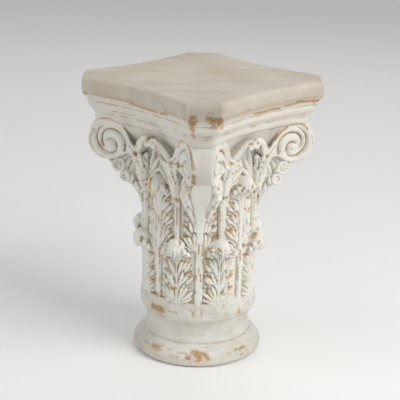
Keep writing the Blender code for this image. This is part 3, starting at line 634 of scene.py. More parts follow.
# Leaves of one kind: the pitch of their leaflets, the lowest root, the height of the leaf's foot, the seeds
# of leaflets and notches, and the half width that is left smooth beside the midrib
Leaves = namedtuple("Leaves", "turns lobes pitch first foot seed notch_seed plain_middle")
LOWER_LEAVES = Leaves(LEAF_TURNS, LOWER_LOBES, 22.5, 3.0, 112, 20, 320, 0.0)
FACE_LEAVES = Leaves(SIDES, FACE_LOBES, 22.5, -6.0, 198, 40, 340, 3.0)
CORNER_LEAVES = Leaves(CORNERS, CORNER_LOBES, 20.0, -8.0, 214, 60, 360, 2.4)


def leaf_relief(u, v, lobes, pitch, first, seed, plain_middle=0.0, one_side=False):
    """Relief of a leaf's blade: leaflets of pointed fingers that lie over each other like tiles.

    lobes holds the lean and the reach of each pair of leaflets, first is the height of the lowest
    pair's root, and plain_middle the half width that is left smooth beside the midrib.
    """
    s = sizes()
    raised, blade = s.finger_relief / MM, s.blade_relief / MM
    random = np.random.default_rng(seed)
    relief = np.zeros_like(u)
    for side in (1,) if one_side else (-1, 1):
        across = side * u
        for number in reversed(range(len(lobes))):
            tilt, span = lobes[number]
            root = (2.6 + plain_middle, first + pitch * number)
            fingers = []
            for angle, share, drop in LEAFLET_FINGERS:
                lean = math.radians(tilt + angle + random.uniform(-5, 5))
                fingers.append(((root[0], root[1] + drop), lean, span * share * random.uniform(0.9, 1.06),
                                0.12 * random.uniform(0.4, 1.6)))
            # The bed sinks what lies round the leaflet, the plate is its blade, and the ridges its fingers
            bed, plate, ridges = np.zeros_like(u), np.zeros_like(u), np.zeros_like(u)
            for base, lean, length, bend in fingers:
                shapes = [finger(across, v, base, lean, longer * length, FINGER_HALF + wider, bend)
                          for longer, wider in ((1.09, 2.4), (1.03, 0.9), (1.0, 0.0))]
                bed, plate = np.maximum(bed, shapes[0]), np.maximum(plate, shapes[1])
                ridges = np.maximum(ridges, shapes[2] ** 1.4)
            relief = relief * (1 - 0.8 * np.minimum(1.0, 2.2 * bed))
            relief = np.maximum(relief, blade * np.minimum(1.0, 3.0 * plate) + raised * ridges)
    return relief


def leaf_notches(leaves, index):
    """Short notches under the leaflets of one leaf, each (u, v) at its inner and outer end."""
    random = np.random.default_rng(leaves.notch_seed + index)
    notches = []
    for side in (-1, 1):
        for number, (tilt, span) in enumerate(leaves.lobes):
            lean = math.radians(tilt + 38 + random.uniform(-5, 5))
            shares = random.uniform(0.42, 0.55), random.uniform(0.72, 0.9)
            root = leaves.first + leaves.pitch * number
            notches.append([(side * (2.6 + share * span * math.sin(lean)),
                             root + share * span * math.cos(lean) - 1.0) for share in shares])
    return notches


def notched_leaf(leaves, index, u, v):
    """Relief of one leaf on the bell, with its notches sunk in it."""
    relief = leaf_relief(u, v, leaves.lobes, leaves.pitch, leaves.first, leaves.seed + index,
                         leaves.plain_middle)
    for (u0, v0), (u1, v1) in leaf_notches(leaves, index):
        run, climb = u1 - u0, v1 - v0
        along = np.clip(((u - u0) * run + (v - v0) * climb) / (run ** 2 + climb ** 2), 0, 1)
        gap = (u - u0 - along * run) ** 2 + (v - v0 - along * climb) ** 2
        relief = relief - 2.6 * np.exp(-gap / 1.5 ** 2)
    return np.maximum(relief, 0.0)


def carving_marks():
    """Wear marks in the notches of the leaves, and on the ribs, stalks, leaf tips and cups."""
    random = np.random.default_rng(77)
    marks = []

    def add(line, out, size, strength):
        places = [(out * math.cos(swing), out * math.sin(swing), height) for swing, height in line]
        marks.append((size, strength, places))

    bell = sizes().bell_radius / MM
    for leaves in (LOWER_LEAVES, FACE_LEAVES, CORNER_LEAVES):
        for index, turn in enumerate(leaves.turns):
            for ends in leaf_notches(leaves, index):
                line = [(turn + u / LEAF_RADIUS, leaves.foot + v) for u, v in ends]
                if random.random() < 0.9:
                    add(line, bell + 2.5, random.uniform(1.0, 1.9), random.uniform(0.6, 1.2))
    edges = [(turn, 5.2, 118, 236) for turn in RIB_TURNS] + [(turn, 4.2, 212, 285) for turn in LEAF_TURNS]
    for turn, half, low, high in edges:
        for _ in range(4):
            height = random.uniform(low, high)
            swing = turn + random.choice([-1, 1]) * half / LEAF_RADIUS
            line = [(swing, height), (swing, height + random.uniform(2, 14))]
            add(line, bell + 5, random.uniform(0.2, 0.8), random.uniform(0.4, 1.0))
    for turn, rise in list(zip(LEAF_TURNS, LEAF_TIP_RISES)) + [(turn, SIDE_TIP_RISE) for turn in SIDES]:
        for _ in range(4):
            u, out = random.uniform(-17, 17), random.uniform(107, 117)
            height = 206 + rise + random.uniform(-3, 9)
            line = [(turn + u / out, height), (turn + (u + random.uniform(-3, 3)) / out, height + 3)]
            add(line, out, random.uniform(1.0, 2.0), random.uniform(0.6, 1.1))
    for turn in LEAF_TURNS:
        for _ in range(5):
            u, out = random.uniform(-9, 9), random.uniform(103, 112)
            height = random.uniform(294, 350)
            line = [(turn + u / out, height), (turn + (u + 3) / out, height + 2)]
            add(line, out, random.uniform(1.0, 1.9), random.uniform(0.4, 0.9))
    return marks


def midrib_relief(u, v, low, high, half, raised):
    """Relief of the rib up the middle of a leaf, which is split by a fine groove at its foot."""
    width = half * (1 - 0.5 * ease(v, low, high))
    ridge = np.sqrt(np.clip(1 - (u / width) ** 2, 0, None)) * raised
    split = np.exp(-(u / 0.7) ** 2) * (1 - ease(v, low, low + 0.7 * (high - low)))
    ridge = ridge - 1.8 * split * (ridge > 1)
    within = ease(v, low - 3, low) * (1 - ease(v, high, high + 4))
    return ridge * within


def bar_relief(u, half, raised):
    """Relief of a smooth band with rounded arrises."""
    return raised * np.clip(1 - (np.abs(u) / half) ** 6, 0, None) ** 0.5


def near_turn(turn, centre):
    """Distance round the bell from a line at an angle, in millimetres."""
    return ((turn - centre + math.pi) % math.tau - math.pi) * LEAF_RADIUS


def lower_leaf(index, u, v):
    """Relief of one of the eight lower leaves, with a fan of fingers at its foot."""
    leaf = notched_leaf(LOWER_LEAVES, index, u, v)
    for angle in (-52, -33, -15, 0, 15, 33, 52):
        leaf = np.maximum(leaf, 5.0 * finger(u, v, (0.16 * angle, -11), math.radians(0.8 * angle), 27, 2.7))
    leaf = np.maximum(leaf, midrib_relief(u, v, -4, 92, 3.4, 5.6))
    return leaf * (1 - ease(v, 108, 120))


def stalk_relief(u, height):
    """Relief of a fluted stalk that rises between the lower leaves."""
    half = 4.0 + 1.0 * ease(height, 286, 300)
    raised = (8.2 + 1.6 * ease(height, 240, 300)) * ease(height, 207, 214)
    return bar_relief(u, half, raised) - 1.5 * np.exp(-(u / 0.9) ** 2) * (np.abs(u) < half)


def spray_relief(u, height):
    """Relief of the tongues that fan out on the flare, behind the cups and small scrolls."""
    fan = np.zeros_like(u)
    for lean, length in SPRAY_FINGERS:
        root = (2 + 0.05 * lean, 318 - 0.1 * lean)
        for side in (-1, 1):
            tongue = finger(side * u, height, root, math.radians(lean), length, 4.6, 0.08)
            fan = np.where(tongue > 0, np.maximum(1.5 + 5.0 * tongue, 0.8 * fan), fan)
    return fan * (1 - ease(height, 384, 396))


def rib_relief(half, u, height):
    """Relief of a smooth rib between two leaves, with a raised edge along each side."""
    edge = 0.5 * np.exp(-((np.abs(u) - half + 1.3) / 1.0) ** 2)
    return bar_relief(u, half, sizes().rib_relief / MM + edge) * (1 - ease(height, 228, 246))


def face_leaf(index, u, v):
    """Relief of the leaf on the middle of a side, with a fluted stem."""
    leaf = notched_leaf(FACE_LEAVES, index, u, v)
    widening = ease(v, 40, 100)
    stem = bar_relief(u, 4.4 + 2.2 * widening, 5.4) * ease(v, -7, -2)
    flute = np.exp(-((np.abs(u) - 1.5 - 1.2 * widening) / 1.2) ** 2) * (stem > 1)
    return np.maximum(leaf, stem - 1.3 * flute) * (1 - ease(v, 116, 126))


def corner_foot_leaf(index, u, v):
    """Relief of the foot of a corner leaf, with a smooth strip up its middle."""
    leaf = notched_leaf(CORNER_LEAVES, index, u, v)
    strip = bar_relief(u, 6.7 + 8.3 * ease(v, 36, 82), 6.0 + 1.2 * (1 - ease(v, 14, 46)))
    return np.maximum(leaf, strip * ease(v, -6, 8))


def bell_surface(turn, height):
    """Radius of the carved bell at angles round the axis and heights."""
    bell = sizes().bell_radius / MM
    radius = np.interp(height, [100, 300, 350, 372, 388, 408],
                       [bell, bell, bell + 0.5, bell + 2, bell + 6, bell + 12])
    place = around_axis(radius, turn, height)
    turn = turn + waves(place, 5, 34) * 0.55 / LEAF_RADIUS
    height = height + waves(place, 6, 34) * 0.5
    relief = np.zeros_like(turn)

    def carve(form, u, half, low, high, *given, zero=0.0):
        """Raise the relief to a form within half its width and between two heights."""
        near = (np.abs(u) < half) & (height > low) & (height < high)
        if near.any():
            relief[near] = np.maximum(relief[near], form(*given, u[near], height[near] - zero))

    for index, centre in enumerate(LEAF_TURNS):
        u = near_turn(turn, centre)
        carve(lower_leaf, u, 34, 0, LOWER_LEAVES.foot + 122, index, zero=LOWER_LEAVES.foot)
        carve(stalk_relief, u, 8, 205, 500)
        carve(spray_relief, u, 40, 300, 500)
    for index, centre in enumerate(RIB_TURNS):
        half = 6.7 if index % 2 else 5.0
        carve(rib_relief, near_turn(turn, centre), half + 1, 0, 250, half)
    for index, centre in enumerate(SIDES):
        carve(face_leaf, near_turn(turn, centre), 32, 190, 325, index, zero=FACE_LEAVES.foot)
    for index, centre in enumerate(CORNERS):
        carve(corner_foot_leaf, near_turn(turn, centre), 34, 205, 325, index, zero=CORNER_LEAVES.foot)
    return radius + relief + 0.22 * waves(around_axis(radius, turn, height), 9, 7)


def add_drum(name, low, high, rows, columns):
    """Part of the carved bell between two heights.

    Its crevices are measured on a taller piece, so that they don't change where two parts meet.
    """
    extra = 8
    step = (high - low) / (rows - 1)
    turn, height = np.meshgrid(np.linspace(0, math.tau, columns, endpoint=False),
                               np.linspace(low - extra * step, high + extra * step, rows + 2 * extra))
    grid = around_axis(bell_surface(turn, height), turn, height)
    points, quads, fans = tube(grid)
    taller = new_mesh("taller", points, quads, fans)
    measures = {}
    for label, values in wear_measures(taller, points, 4, 24).items():
        values = values[:-2].reshape(rows + 2 * extra, columns)[extra:-extra]
        measures[label] = np.append(values.ravel(), (0.0, 0.0))
    bpy.data.meshes.remove(taller)
    add_piece(name, tube(grid[extra:-extra]), carved_wash(), measures)


# Section through a leaf's curled tip: distance from the axis and height
HOOD_SECTION = [(91, 227.5), (98, 231), (104, 232.8), (110, 232.4), (115.4, 229), (118.8, 223.4),
                (119.8, 216.8), (118.6, 210), (116.2, 204.6), (113.6, 203.8), (112.8, 208), (111, 212.6),
                (106, 215), (99, 213.5), (91, 212)]
# Curls at each side of a hood: distance out, distance beyond the hood, height, radius, half thickness, yaw
HOOD_CURLS = [(106.5, 2.2, 212.5, 5.6, 3.6, 1.1), (101.5, 6.8, 206.5, 4.6, 3.4, 0.9)]


def hood_body(turn, rise, reach, half, seed):
    """The curled tip of a leaf: a domed hood with an open underside, and two curls at each side."""
    random = np.random.default_rng(seed)
    rows, columns = 48, 60
    section = resample(np.array(HOOD_SECTION, float), columns, closed=True)
    section = np.stack([np.convolve(np.tile(section[:, axis], 3), np.ones(3) / 3, 'same')[columns:2 * columns]
                        for axis in range(2)], axis=1)
    step = np.roll(section, -1, axis=0) - np.roll(section, 1, axis=0)
    normal = np.stack([-step[:, 1], step[:, 0]], axis=1) / np.linalg.norm(step, axis=1)[:, None]
    swing = np.radians(np.linspace(-86, 86, rows))[:, None]
    u = half * np.sin(swing)
    shrink = np.cos(swing) ** 0.62
    low = np.array([91.0, 209.0])
    front = ease(section[:, 0], 100, 112)[None] * (section[:, 1] > 203)[None]
    ripple = np.cos(u * math.tau / (0.5 * half) + random.uniform(-0.6, 0.6))
    low_part = 1 - ease(section[:, 1], 206, 222)[None]
    veins = (0.25 + 0.75 * low_part) * ripple * front * np.cos(swing)
    lip = 2.2 * ripple * (1 - ease(section[:, 1], 206, 214))[None] * front
    out = low[0] + (section[None, :, 0] - low[0]) * shrink - veins * normal[None, :, 0]
    out = LEAF_RADIUS + (out - LEAF_RADIUS) * reach
    height = low[1] + (section[None, :, 1] - low[1]) * shrink - veins * normal[None, :, 1] + lip
    grid = np.stack([out, np.repeat(u, columns, axis=1), height + rise], axis=-1)
    grid += waves(grid, seed, 14)[..., None] * 0.5
    bodies = [tube(turned(grid, turn))]
    for side in (-1, 1):
        for out, beyond, height, radius, thick, yaw in HOOD_CURLS:
            place = (out, side * (half + beyond), height + rise + random.uniform(-1, 1))
            bodies.append(curl_body(turn, place, radius + random.uniform(-0.4, 0.4), thick, side * yaw))
    return bodies


# Half of a curl's section: share of its radius and of its half thickness
CURL_PROFILE = [(0.04, 0.30), (0.16, 0.22), (0.30, -0.05), (0.48, 0.35), (0.70, 0.95), (0.93, 0.7),
                (1.0, 0.0), (0.93, -0.7), (0.72, -0.95), (0.52, -0.6), (0.3, -0.5), (0.05, -0.5)]


def curl_body(turn, centre, radius, half, yaw):
    """A small rolled curl at a leaf's edge: a disc on its side with a ringed, sunken middle."""
    rows, columns = 20, 28
    share = np.linspace(0, 1, rows)
    profile = smooth_line(CURL_PROFILE, rows)
    around = np.linspace(0, math.tau, columns, endpoint=False)
    reach = radius * profile[:, 0:1] * (1 + 0.05 * np.sin(3 * around + 4 * share[:, None]))
    x, z = reach * np.cos(around), reach * np.sin(around)
    y = np.repeat(half * profile[:, 1:2], columns, axis=1)
    cos, sin = math.cos(yaw), math.sin(yaw)
    grid = np.stack([x * cos - y * sin + centre[0], x * sin + y * cos + centre[1], z + centre[2]], axis=-1)
    return tube(turned(grid, turn))


# Height, distance out and half width of the strip up the front of a corner leaf
CORNER_LEVELS = [(218, 90.0, 4.0), (228, 94.0, 4.8), (238, 97.2, 5.6), (247, 99.2, 6.2), (257, 101, 7.0),
                 (267, 103, 8.4), (276, 106, 9.3), (284, 109.5, 10.2), (290, 113.5, 11.6), (295, 118, 13.0),
                 (301, 123.5, 14.4), (308, 129.5, 15.4), (316, 136, 15.8), (324, 143, 15.8), (331, 150, 15.4),
                 (338, 157, 15), (345, 159, 14.6), (353, 157, 14.4)]
# Curls on each flank: distance out, distance aside, height, radius, half thickness and yaw
CORNER_CURLS = [(137.0, 24.2, 331.5, 12.8, 5.0, -0.36), (126.0, 27.6, 312.6, 10.0, 4.6, -0.42)]


def corner_leaf_body(turn, seed):
    """The leaf that leaves the bell under a corner scroll, with a smooth strip up its front."""
    line = smooth_line(CORNER_LEVELS, 100)
    columns = 150
    root = 86.0
    rings, ways = [], []
    for height, front, half in line:
        depth = front - root
        wide = half + 1.5 + 15 * ease(height, 246, 300)
        # Half of the ring, from the middle of the front to the middle of the back
        places = np.array([(front, 0), (front - 0.1, 0.45 * half), (front - 0.5, 0.82 * half),
                           (front - 1.4, half), (front - 2.4, half + 0.5),
                           (front - 0.08 * depth - 3, half + 0.36 * (wide - half)),
                           (front - 0.36 * depth, half + 0.84 * (wide - half)), (root, wide), (root, 0)])
        side = resample(places, columns // 2 + 1)
        way = np.concatenate([[0], np.cumsum(np.linalg.norm(np.diff(side, axis=0), axis=1))]) - half
        ring = np.vstack([side, (side * (1, -1))[-2:0:-1]])
        rings.append(np.column_stack([ring, np.full(len(ring), height)]))
        ways.append(np.concatenate([way, way[-2:0:-1]]))
    grid, way = np.array(rings), np.array(ways)
    step = np.roll(grid, -1, axis=1) - np.roll(grid, 1, axis=1)
    normal = np.stack([step[..., 1], -step[..., 0]], axis=-1)
    normal /= np.linalg.norm(normal, axis=-1)[..., None]
    flank = ease(way, 1.5, 4.5) * (grid[..., 0] > 88)
    lift = leaf_relief(way - 1.5, grid[..., 2] - 240, FLANK_LOBES, 17.5, 0.0, seed, one_side=True)
    lift = (1.25 * lift - 2.4) * flank * ease(grid[..., 2], 240, 252)
    strands = np.cos(math.tau * (grid[..., 2] - 0.75 * way) / 8.6)
    lift += 1.5 * strands * ease(way, 12, 20) * ease(grid[..., 2], 316, 326) * flank
    grid[..., :2] += normal * lift[..., None]
    grid += waves(grid, seed, 16)[..., None] * 0.2
    bodies = [tube(turned(grid, turn))]
    for side in (-1, 1):
        for out, aside, height, radius, thick, yaw in CORNER_CURLS:
            bodies.append(curl_body(turn, (out, side * aside, height), radius, thick, side * yaw))
    return bodies


def scroll_outline(count):
    """Radius of a corner scroll's outline from its eye, at angles from its top towards its rim."""
    angles = np.radians([0, 20, 45, 70, 90, 110, 135, 160, 180, 200, 218, 232])
    radii = np.array([45.4, 44.8, 42.8, 40.2, 38.4, 36.2, 32.6, 29.2, 27.2, 26.2, 26.2, 27.2])
    spiral = np.stack([radii * np.sin(angles), radii * np.cos(angles)], axis=1)
    tail = np.array([(-31, -12.5), (-41, -13.5), (-54, -12), (-58, -5), (-50, -0.5), (-42, 5), (-36.5, 13),
                     (-30, 25), (-22.5, 35.5), (-12, 43)])
    line = smooth_line(np.vstack([spiral, tail, spiral[:1]]), 4 * count)
    turn = np.arctan2(line[:, 0], line[:, 1]) % math.tau
    order = np.argsort(turn)
    turn, reach = turn[order], np.linalg.norm(line, axis=1)[order]
    at = np.linspace(0, math.tau, count, endpoint=False)
    return at, np.interp(at, turn, reach, period=math.tau)


def scroll_relief(swing, reach, edge):
    """How far a corner scroll's face stands out, at angles and distances from its eye.

    The outer groove parts the second turn from the first, and the inner one runs down the middle
    of the band and ends as the crescent round the eye.
    """
    groove = sizes().scroll_groove / MM
    lift = np.full_like(reach, 1.8)
    degrees = np.degrees(swing)
    for turn in (0, 1):
        wound = degrees + 360 * turn
        line = np.interp(wound, [250, 270, 315, 360, 384, 403, 430, 459, 480],
                         [27.5, 27, 26.4, 25.4, 24.2, 20.8, 16.2, 12.9, 11.5])
        deep = np.interp(wound, [246, 258, 300, 440, 470, 490], [0, 0.9, 1, 0.9, 0.5, 0])
        lift -= groove * deep * np.exp(-((reach - line) / 2.9) ** 2)
        line = np.interp(wound, [-20, 10, 45, 69, 95, 130, 165, 196, 230, 270, 330, 400, 430],
                         [38, 35.4, 30.5, 26, 21.8, 18.2, 17.2, 16.2, 13.4, 10.2, 8.8, 8.2, 8.2])
        deep = np.interp(wound, [-5, 25, 60, 100, 200, 260, 330, 400, 430],
                         [0, 0.35, 0.9, 1, 0.9, 1, 0.8, 0.6, 0]) * (wound < 430) * (wound > -5)
        lift -= groove * deep * np.exp(-((reach - line) / 2.8) ** 2)
    stem = np.interp(degrees, [245, 268, 300, 335, 350], [0, 0.6, 0.6, 0.3, 0.0])
    lift -= 0.5 * groove * stem * np.exp(-((reach - 0.5 * (edge + 27)) / 2.0) ** 2)
    ball = np.sqrt(np.clip(1 - (reach / 6.2) ** 2, 0, None))
    lift = np.where(reach < 6.2, np.maximum(lift, -1.8 + 5.6 * ball), lift)
    return lift - 1.8 * np.exp(-(edge - reach) / 1.5)


def corner_scroll_body(turn, seed):
    """A corner scroll: two hollow-curved faces with winding grooves, and the rim between them."""
    s = sizes()
    columns, face_rows, rim_rows = 200, 44, 10
    swing, edge = scroll_outline(columns)
    far, eye_height = s.scroll_reach / MM, s.scroll_eye_height / MM
    half, eye_distance, spread, curve = 14.8, 38.2, 0.14, 0.0032
    steps = np.linspace(-5, 110, 116)
    slope = spread + 2 * curve * steps
    gone = np.concatenate([[0], np.cumsum(1 / np.sqrt(1 + slope[1:] ** 2))]) - 5
    shares = np.concatenate([[0.015], np.linspace(0.03, 0.9, face_rows - 9), np.linspace(0.92, 1.0, 8)])

    def face(side):
        reach = shares[:, None] * edge[None]
        lift = scroll_relief(np.repeat(swing[None], len(shares), axis=0), reach, edge[None])
        out, up = reach * np.sin(swing), reach * np.cos(swing)
        distance = eye_distance - out
        lean = spread + 2 * curve * distance
        unit = 1 / np.sqrt(1 + lean ** 2)
        along = far - np.interp(distance, steps, gone) + lift * lean * unit
        across = half + spread * distance + curve * distance ** 2 + 0.08 * up + lift * unit
        return np.stack([along, side * across, eye_height + up], axis=-1)

    left, right = face(1), face(-1)
    rim = []
    for row in range(1, rim_rows):
        share = row / rim_rows
        bulge = 0.5 * (1 - abs(2 * share - 1) ** 3)
        ring = left[-1] * (1 - share) + right[-1] * share
        outward_step = np.stack([np.sin(swing), np.zeros_like(swing), np.cos(swing)], axis=-1)
        rim.append(ring + bulge * outward_step)
    grid = np.concatenate([left, np.array(rim), right[::-1]])
    grid += waves(grid, seed, 18)[..., None] * 0.25
    return tube(turned(grid, turn))


# The first part of a small scroll: distance aside, height, distance out and width
HELIX_PATH = [(45, 348, 106, 17), (40.5, 358, 110, 16), (35, 368, 114, 14.5), (28, 378.5, 117, 12.4),
              (19.5, 387.5, 119.4, 10.0), (11, 392.4, 120.6, 7.6)]
# Its section: share of its half width, and distance out
HELIX_SECTION = [(-1, -26), (-0.82, -19), (-1.04, -16), (-0.74, -13), (-1.02, -10), (-0.74, -7.4),
                 (-1.0, -4.8), (-0.78, -3.0), (-1, -1.2), (-0.8, 0.3), (-0.45, 0.4), (0, 0.1), (0.4, 0.2),
                 (0.66, 0.2), (0.84, 0.5), (1, -0.8), (1.02, -3), (1, -26)]
# Half the section of the knob in its eye: radius and distance out
EYE_PROFILE = [(0.4, 6), (2.2, 5.3), (3.4, 3.6), (4.0, 0.5), (4.0, -12), (0.4, -12)]


def helix_body(turn, side):
    """A small scroll under the slab, from its cup up and in to the middle of the side."""
    eye = (7.6, sizes().helix_eye_height / MM)
    path = [np.array(place, float) for place in HELIX_PATH]
    for step, degrees in enumerate(range(-25, -330, -38)):
        swing = math.radians(degrees)
        radius = 6.9 * (1 + degrees / 620)
        path.append(np.array([eye[0] + radius * math.sin(swing), eye[1] + radius * math.cos(swing),
                              120.6, 6.2 - 0.30 * step]))
    line = smooth_line(path, 66)
    step = np.gradient(line[:, :2], axis=0)
    step /= np.linalg.norm(step, axis=1)[:, None]
    normal = np.stack([step[:, 1], -step[:, 0]], axis=1)
    section = resample(np.array(HELIX_SECTION), 48)
    wide = 0.5 * line[:, 3:4] * section[:, 0]
    aside = line[:, 0:1] + normal[:, 0:1] * wide
    height = line[:, 1:2] + normal[:, 1:2] * wide
    grid = np.stack([line[:, 2:3] + section[:, 1], side * aside, height], axis=-1)
    around = np.linspace(0, math.tau, 20, endpoint=False)
    ball = smooth_line(EYE_PROFILE, 14)
    reach = ball[:, 0:1]
    knob = np.stack([np.repeat(115.5 + ball[:, 1:2], len(around), axis=1),
                     side * eye[0] + reach * np.cos(around), eye[1] + reach * np.sin(around)], axis=-1)
    return [tube(turned(grid, turn)), tube(turned(knob, turn))]


# Height, distance out, half width and half depth of a cup
CUP_LEVELS = [(289, 97.5, 3.8, 5.4), (293, 98, 4.4, 6.0), (297, 98.6, 6.4, 7.6), (300.5, 98.8, 4.6, 6.2),
              (304, 99, 4.6, 6.2), (313, 100, 5.6, 7.0), (324, 101.6, 7.2, 8.4), (335, 103.4, 9.4, 10.2),
              (345, 105.4, 11.8, 12.2), (354, 107, 13.8, 13.6), (360.5, 108, 14.8, 14.4)]


def cup_body(turn, seed):
    """A leafy cup at the head of a stalk, open at its top: two tiers of pointed leaves."""
    line = smooth_line([np.array(level, float) for level in CUP_LEVELS], 52)
    columns = 90
    around = np.linspace(0, math.tau, columns, endpoint=False)
    height = np.repeat(line[:, 0:1], columns, axis=1)
    relief = np.zeros_like(height)
    for tier, (low, tall, count, shift) in enumerate(((322, 42, 9, 0.5), (299, 36, 9, 0.0))):
        here = np.zeros_like(height)
        for number in range(count):
            middle = (number + shift) * math.tau / count
            gap = (around - middle + math.pi) % math.tau - math.pi
            u = gap[None] * (0.5 * (line[:, 2:3] + line[:, 3:4]) + 1)
            here = np.maximum(here, finger(u, height, (0, low), 0.0, tall, 3.6 + 0.5 * tier))
        relief = relief * (1 - np.minimum(1.0, 1.6 * here)) * (here > 0) + relief * (here <= 0)
        relief = np.maximum(relief, (0.2 + 1.8 * tier) * (here > 0) + 4.0 * here)
    tips = np.abs(np.cos(4.5 * (around - math.pi / 9)))
    rise = 5.6 * (tips - 0.62) * ease(height, 338, 360)
    flare = 2.6 * ease(height, 344, 360)
    wide = relief + flare
    grid = np.stack([line[:, 1:2] + (line[:, 3:4] + wide) * np.cos(around),
                     (line[:, 2:3] + wide) * np.sin(around), height + rise], axis=-1)
    # The rings inside the mouth go in and down from the rim
    rim = grid[-1]
    rings = list(grid)
    centre = np.array([108.0, 0.0])
    for share, drop in ((0.93, -0.6), (0.86, 1.4), (0.78, 4.5), (0.68, 7.5), (0.5, 9.5), (0.25, 10.5)):
        ring = rim.copy()
        ring[:, :2] = centre + (rim[:, :2] - centre) * share
        ring[:, 2] = rim[:, 2] * (share > 0.8) + 360 * (share <= 0.8) - drop
        rings.append(ring)
    grid = np.array(rings)
    grid += waves(grid, seed, 7)[..., None] * 0.6
    return tube(turned(grid, turn))


def new_group(name, sockets):
    """A shader node group with its inputs and outputs, each (name, IN or OUT, type, default)."""
    tree = bpy.data.node_groups.new(name, 'ShaderNodeTree')
    for label, way, kind, value in sockets:
        socket = tree.interface.new_socket(name=label, in_out='INPUT' if way == 'IN' else 'OUTPUT',
                                           socket_type=f"NodeSocket{kind}")
        if value is not None:
            socket.default_value = value
    return tree, tree.nodes.new("NodeGroupInput"), tree.nodes.new("NodeGroupOutput")


def calculate(tree, operation, first, second=None, third=None):
    """A maths node on values or sockets, and its result."""
    item = tree.nodes.new("ShaderNodeMath")
    item.operation = operation
    for index, value in enumerate((first, second, third)):
        if value is None:
            continue
        if isinstance(value, (int, float)):
            item.inputs[index].default_value = value
        else:
            tree.links.new(value, item.inputs[index])
    return item.outputs[0]


def weighted(tree, *terms, more=0.0):
    """The sum of values times their weights, and of one more number."""
    total = more
    for value, weight in terms:
        total = calculate(tree, 'MULTIPLY_ADD', value, weight, total)
    return total


def ranged(tree, value, low, high, out_low=0.0, out_high=1.0):
    """A value brought from one range to another, smoothly and within its ends."""
    item = tree.nodes.new("ShaderNodeMapRange")
    item.interpolation_type = 'SMOOTHSTEP'
    tree.links.new(value, item.inputs["Value"])
    for label, number in (("From Min", low), ("From Max", high), ("To Min", out_low), ("To Max", out_high)):
        if isinstance(number, (int, float)):
            item.inputs[label].default_value = number
        else:
            tree.links.new(number, item.inputs[label])
    return item.outputs["Result"]


def blend_colour(tree, share, first, second):
    """Two colours mixed by a share."""
    item = tree.nodes.new("ShaderNodeMix")
    item.data_type = 'RGBA'
    for index, value in ((0, share), (6, first), (7, second)):
        if isinstance(value, (float, tuple)):
            item.inputs[index].default_value = value
        else:
            tree.links.new(value, item.inputs[index])
    return item.outputs[2]


def speckle(tree, place, scale, detail=3.0, rough=0.55):
    """A noise texture's value."""
    item = tree.nodes.new("ShaderNodeTexNoise")
    for label, number in (("Scale", scale), ("Detail", detail), ("Roughness", rough)):
        item.inputs[label].default_value = number
    tree.links.new(place, item.inputs["Vector"])
    return item.outputs["Fac"]


def stretched(tree, place, scale, turn=0.0):
    """Places turned about the axis and then scaled by three numbers."""
    item = tree.nodes.new("ShaderNodeMapping")
    item.vector_type = 'TEXTURE'
    item.inputs["Rotation"].default_value = (0.0, 0.0, turn)
    item.inputs["Scale"].default_value = tuple(1 / part for part in scale)
    tree.links.new(place, item.inputs["Vector"])
    return item.outputs["Vector"]


def brushed_wash_group():
    """Node group: uneven whitewash, thin and thick, with the marks of the brush."""
    tree, given, made = new_group("brushed wash", [
        ("Place", 'IN', 'Vector', None), ("Thick", 'IN', 'Color', (0.7, 0.7, 0.66, 1)),
        ("Thin", 'IN', 'Color', (0.5, 0.47, 0.42, 1)), ("Cover", 'IN', 'Float', 0.6),
        ("Color", 'OUT', 'Color', None), ("Height", 'OUT', 'Float', None)])
    place = given.outputs["Place"]
    streaks = speckle(tree, stretched(tree, place, (22.0, 22.0, 260.0)), 1.0, 5.0, 0.65)
    clouds = speckle(tree, place, 26.0, 4.0, 0.6)
    grain = speckle(tree, place, 420.0, 3.0, 0.6)
    mottle = weighted(tree, (streaks, 0.45), (clouds, 0.55), (grain, 0.12))
    low = calculate(tree, 'SUBTRACT', 0.86, given.outputs["Cover"])
    share = ranged(tree, mottle, low, calculate(tree, 'ADD', low, 0.34))
    tree.links.new(blend_colour(tree, share, given.outputs["Thin"], given.outputs["Thick"]),
                   made.inputs["Color"])
    tree.links.new(weighted(tree, (streaks, 0.4), (grain, 0.6)), made.inputs["Height"])
    return tree


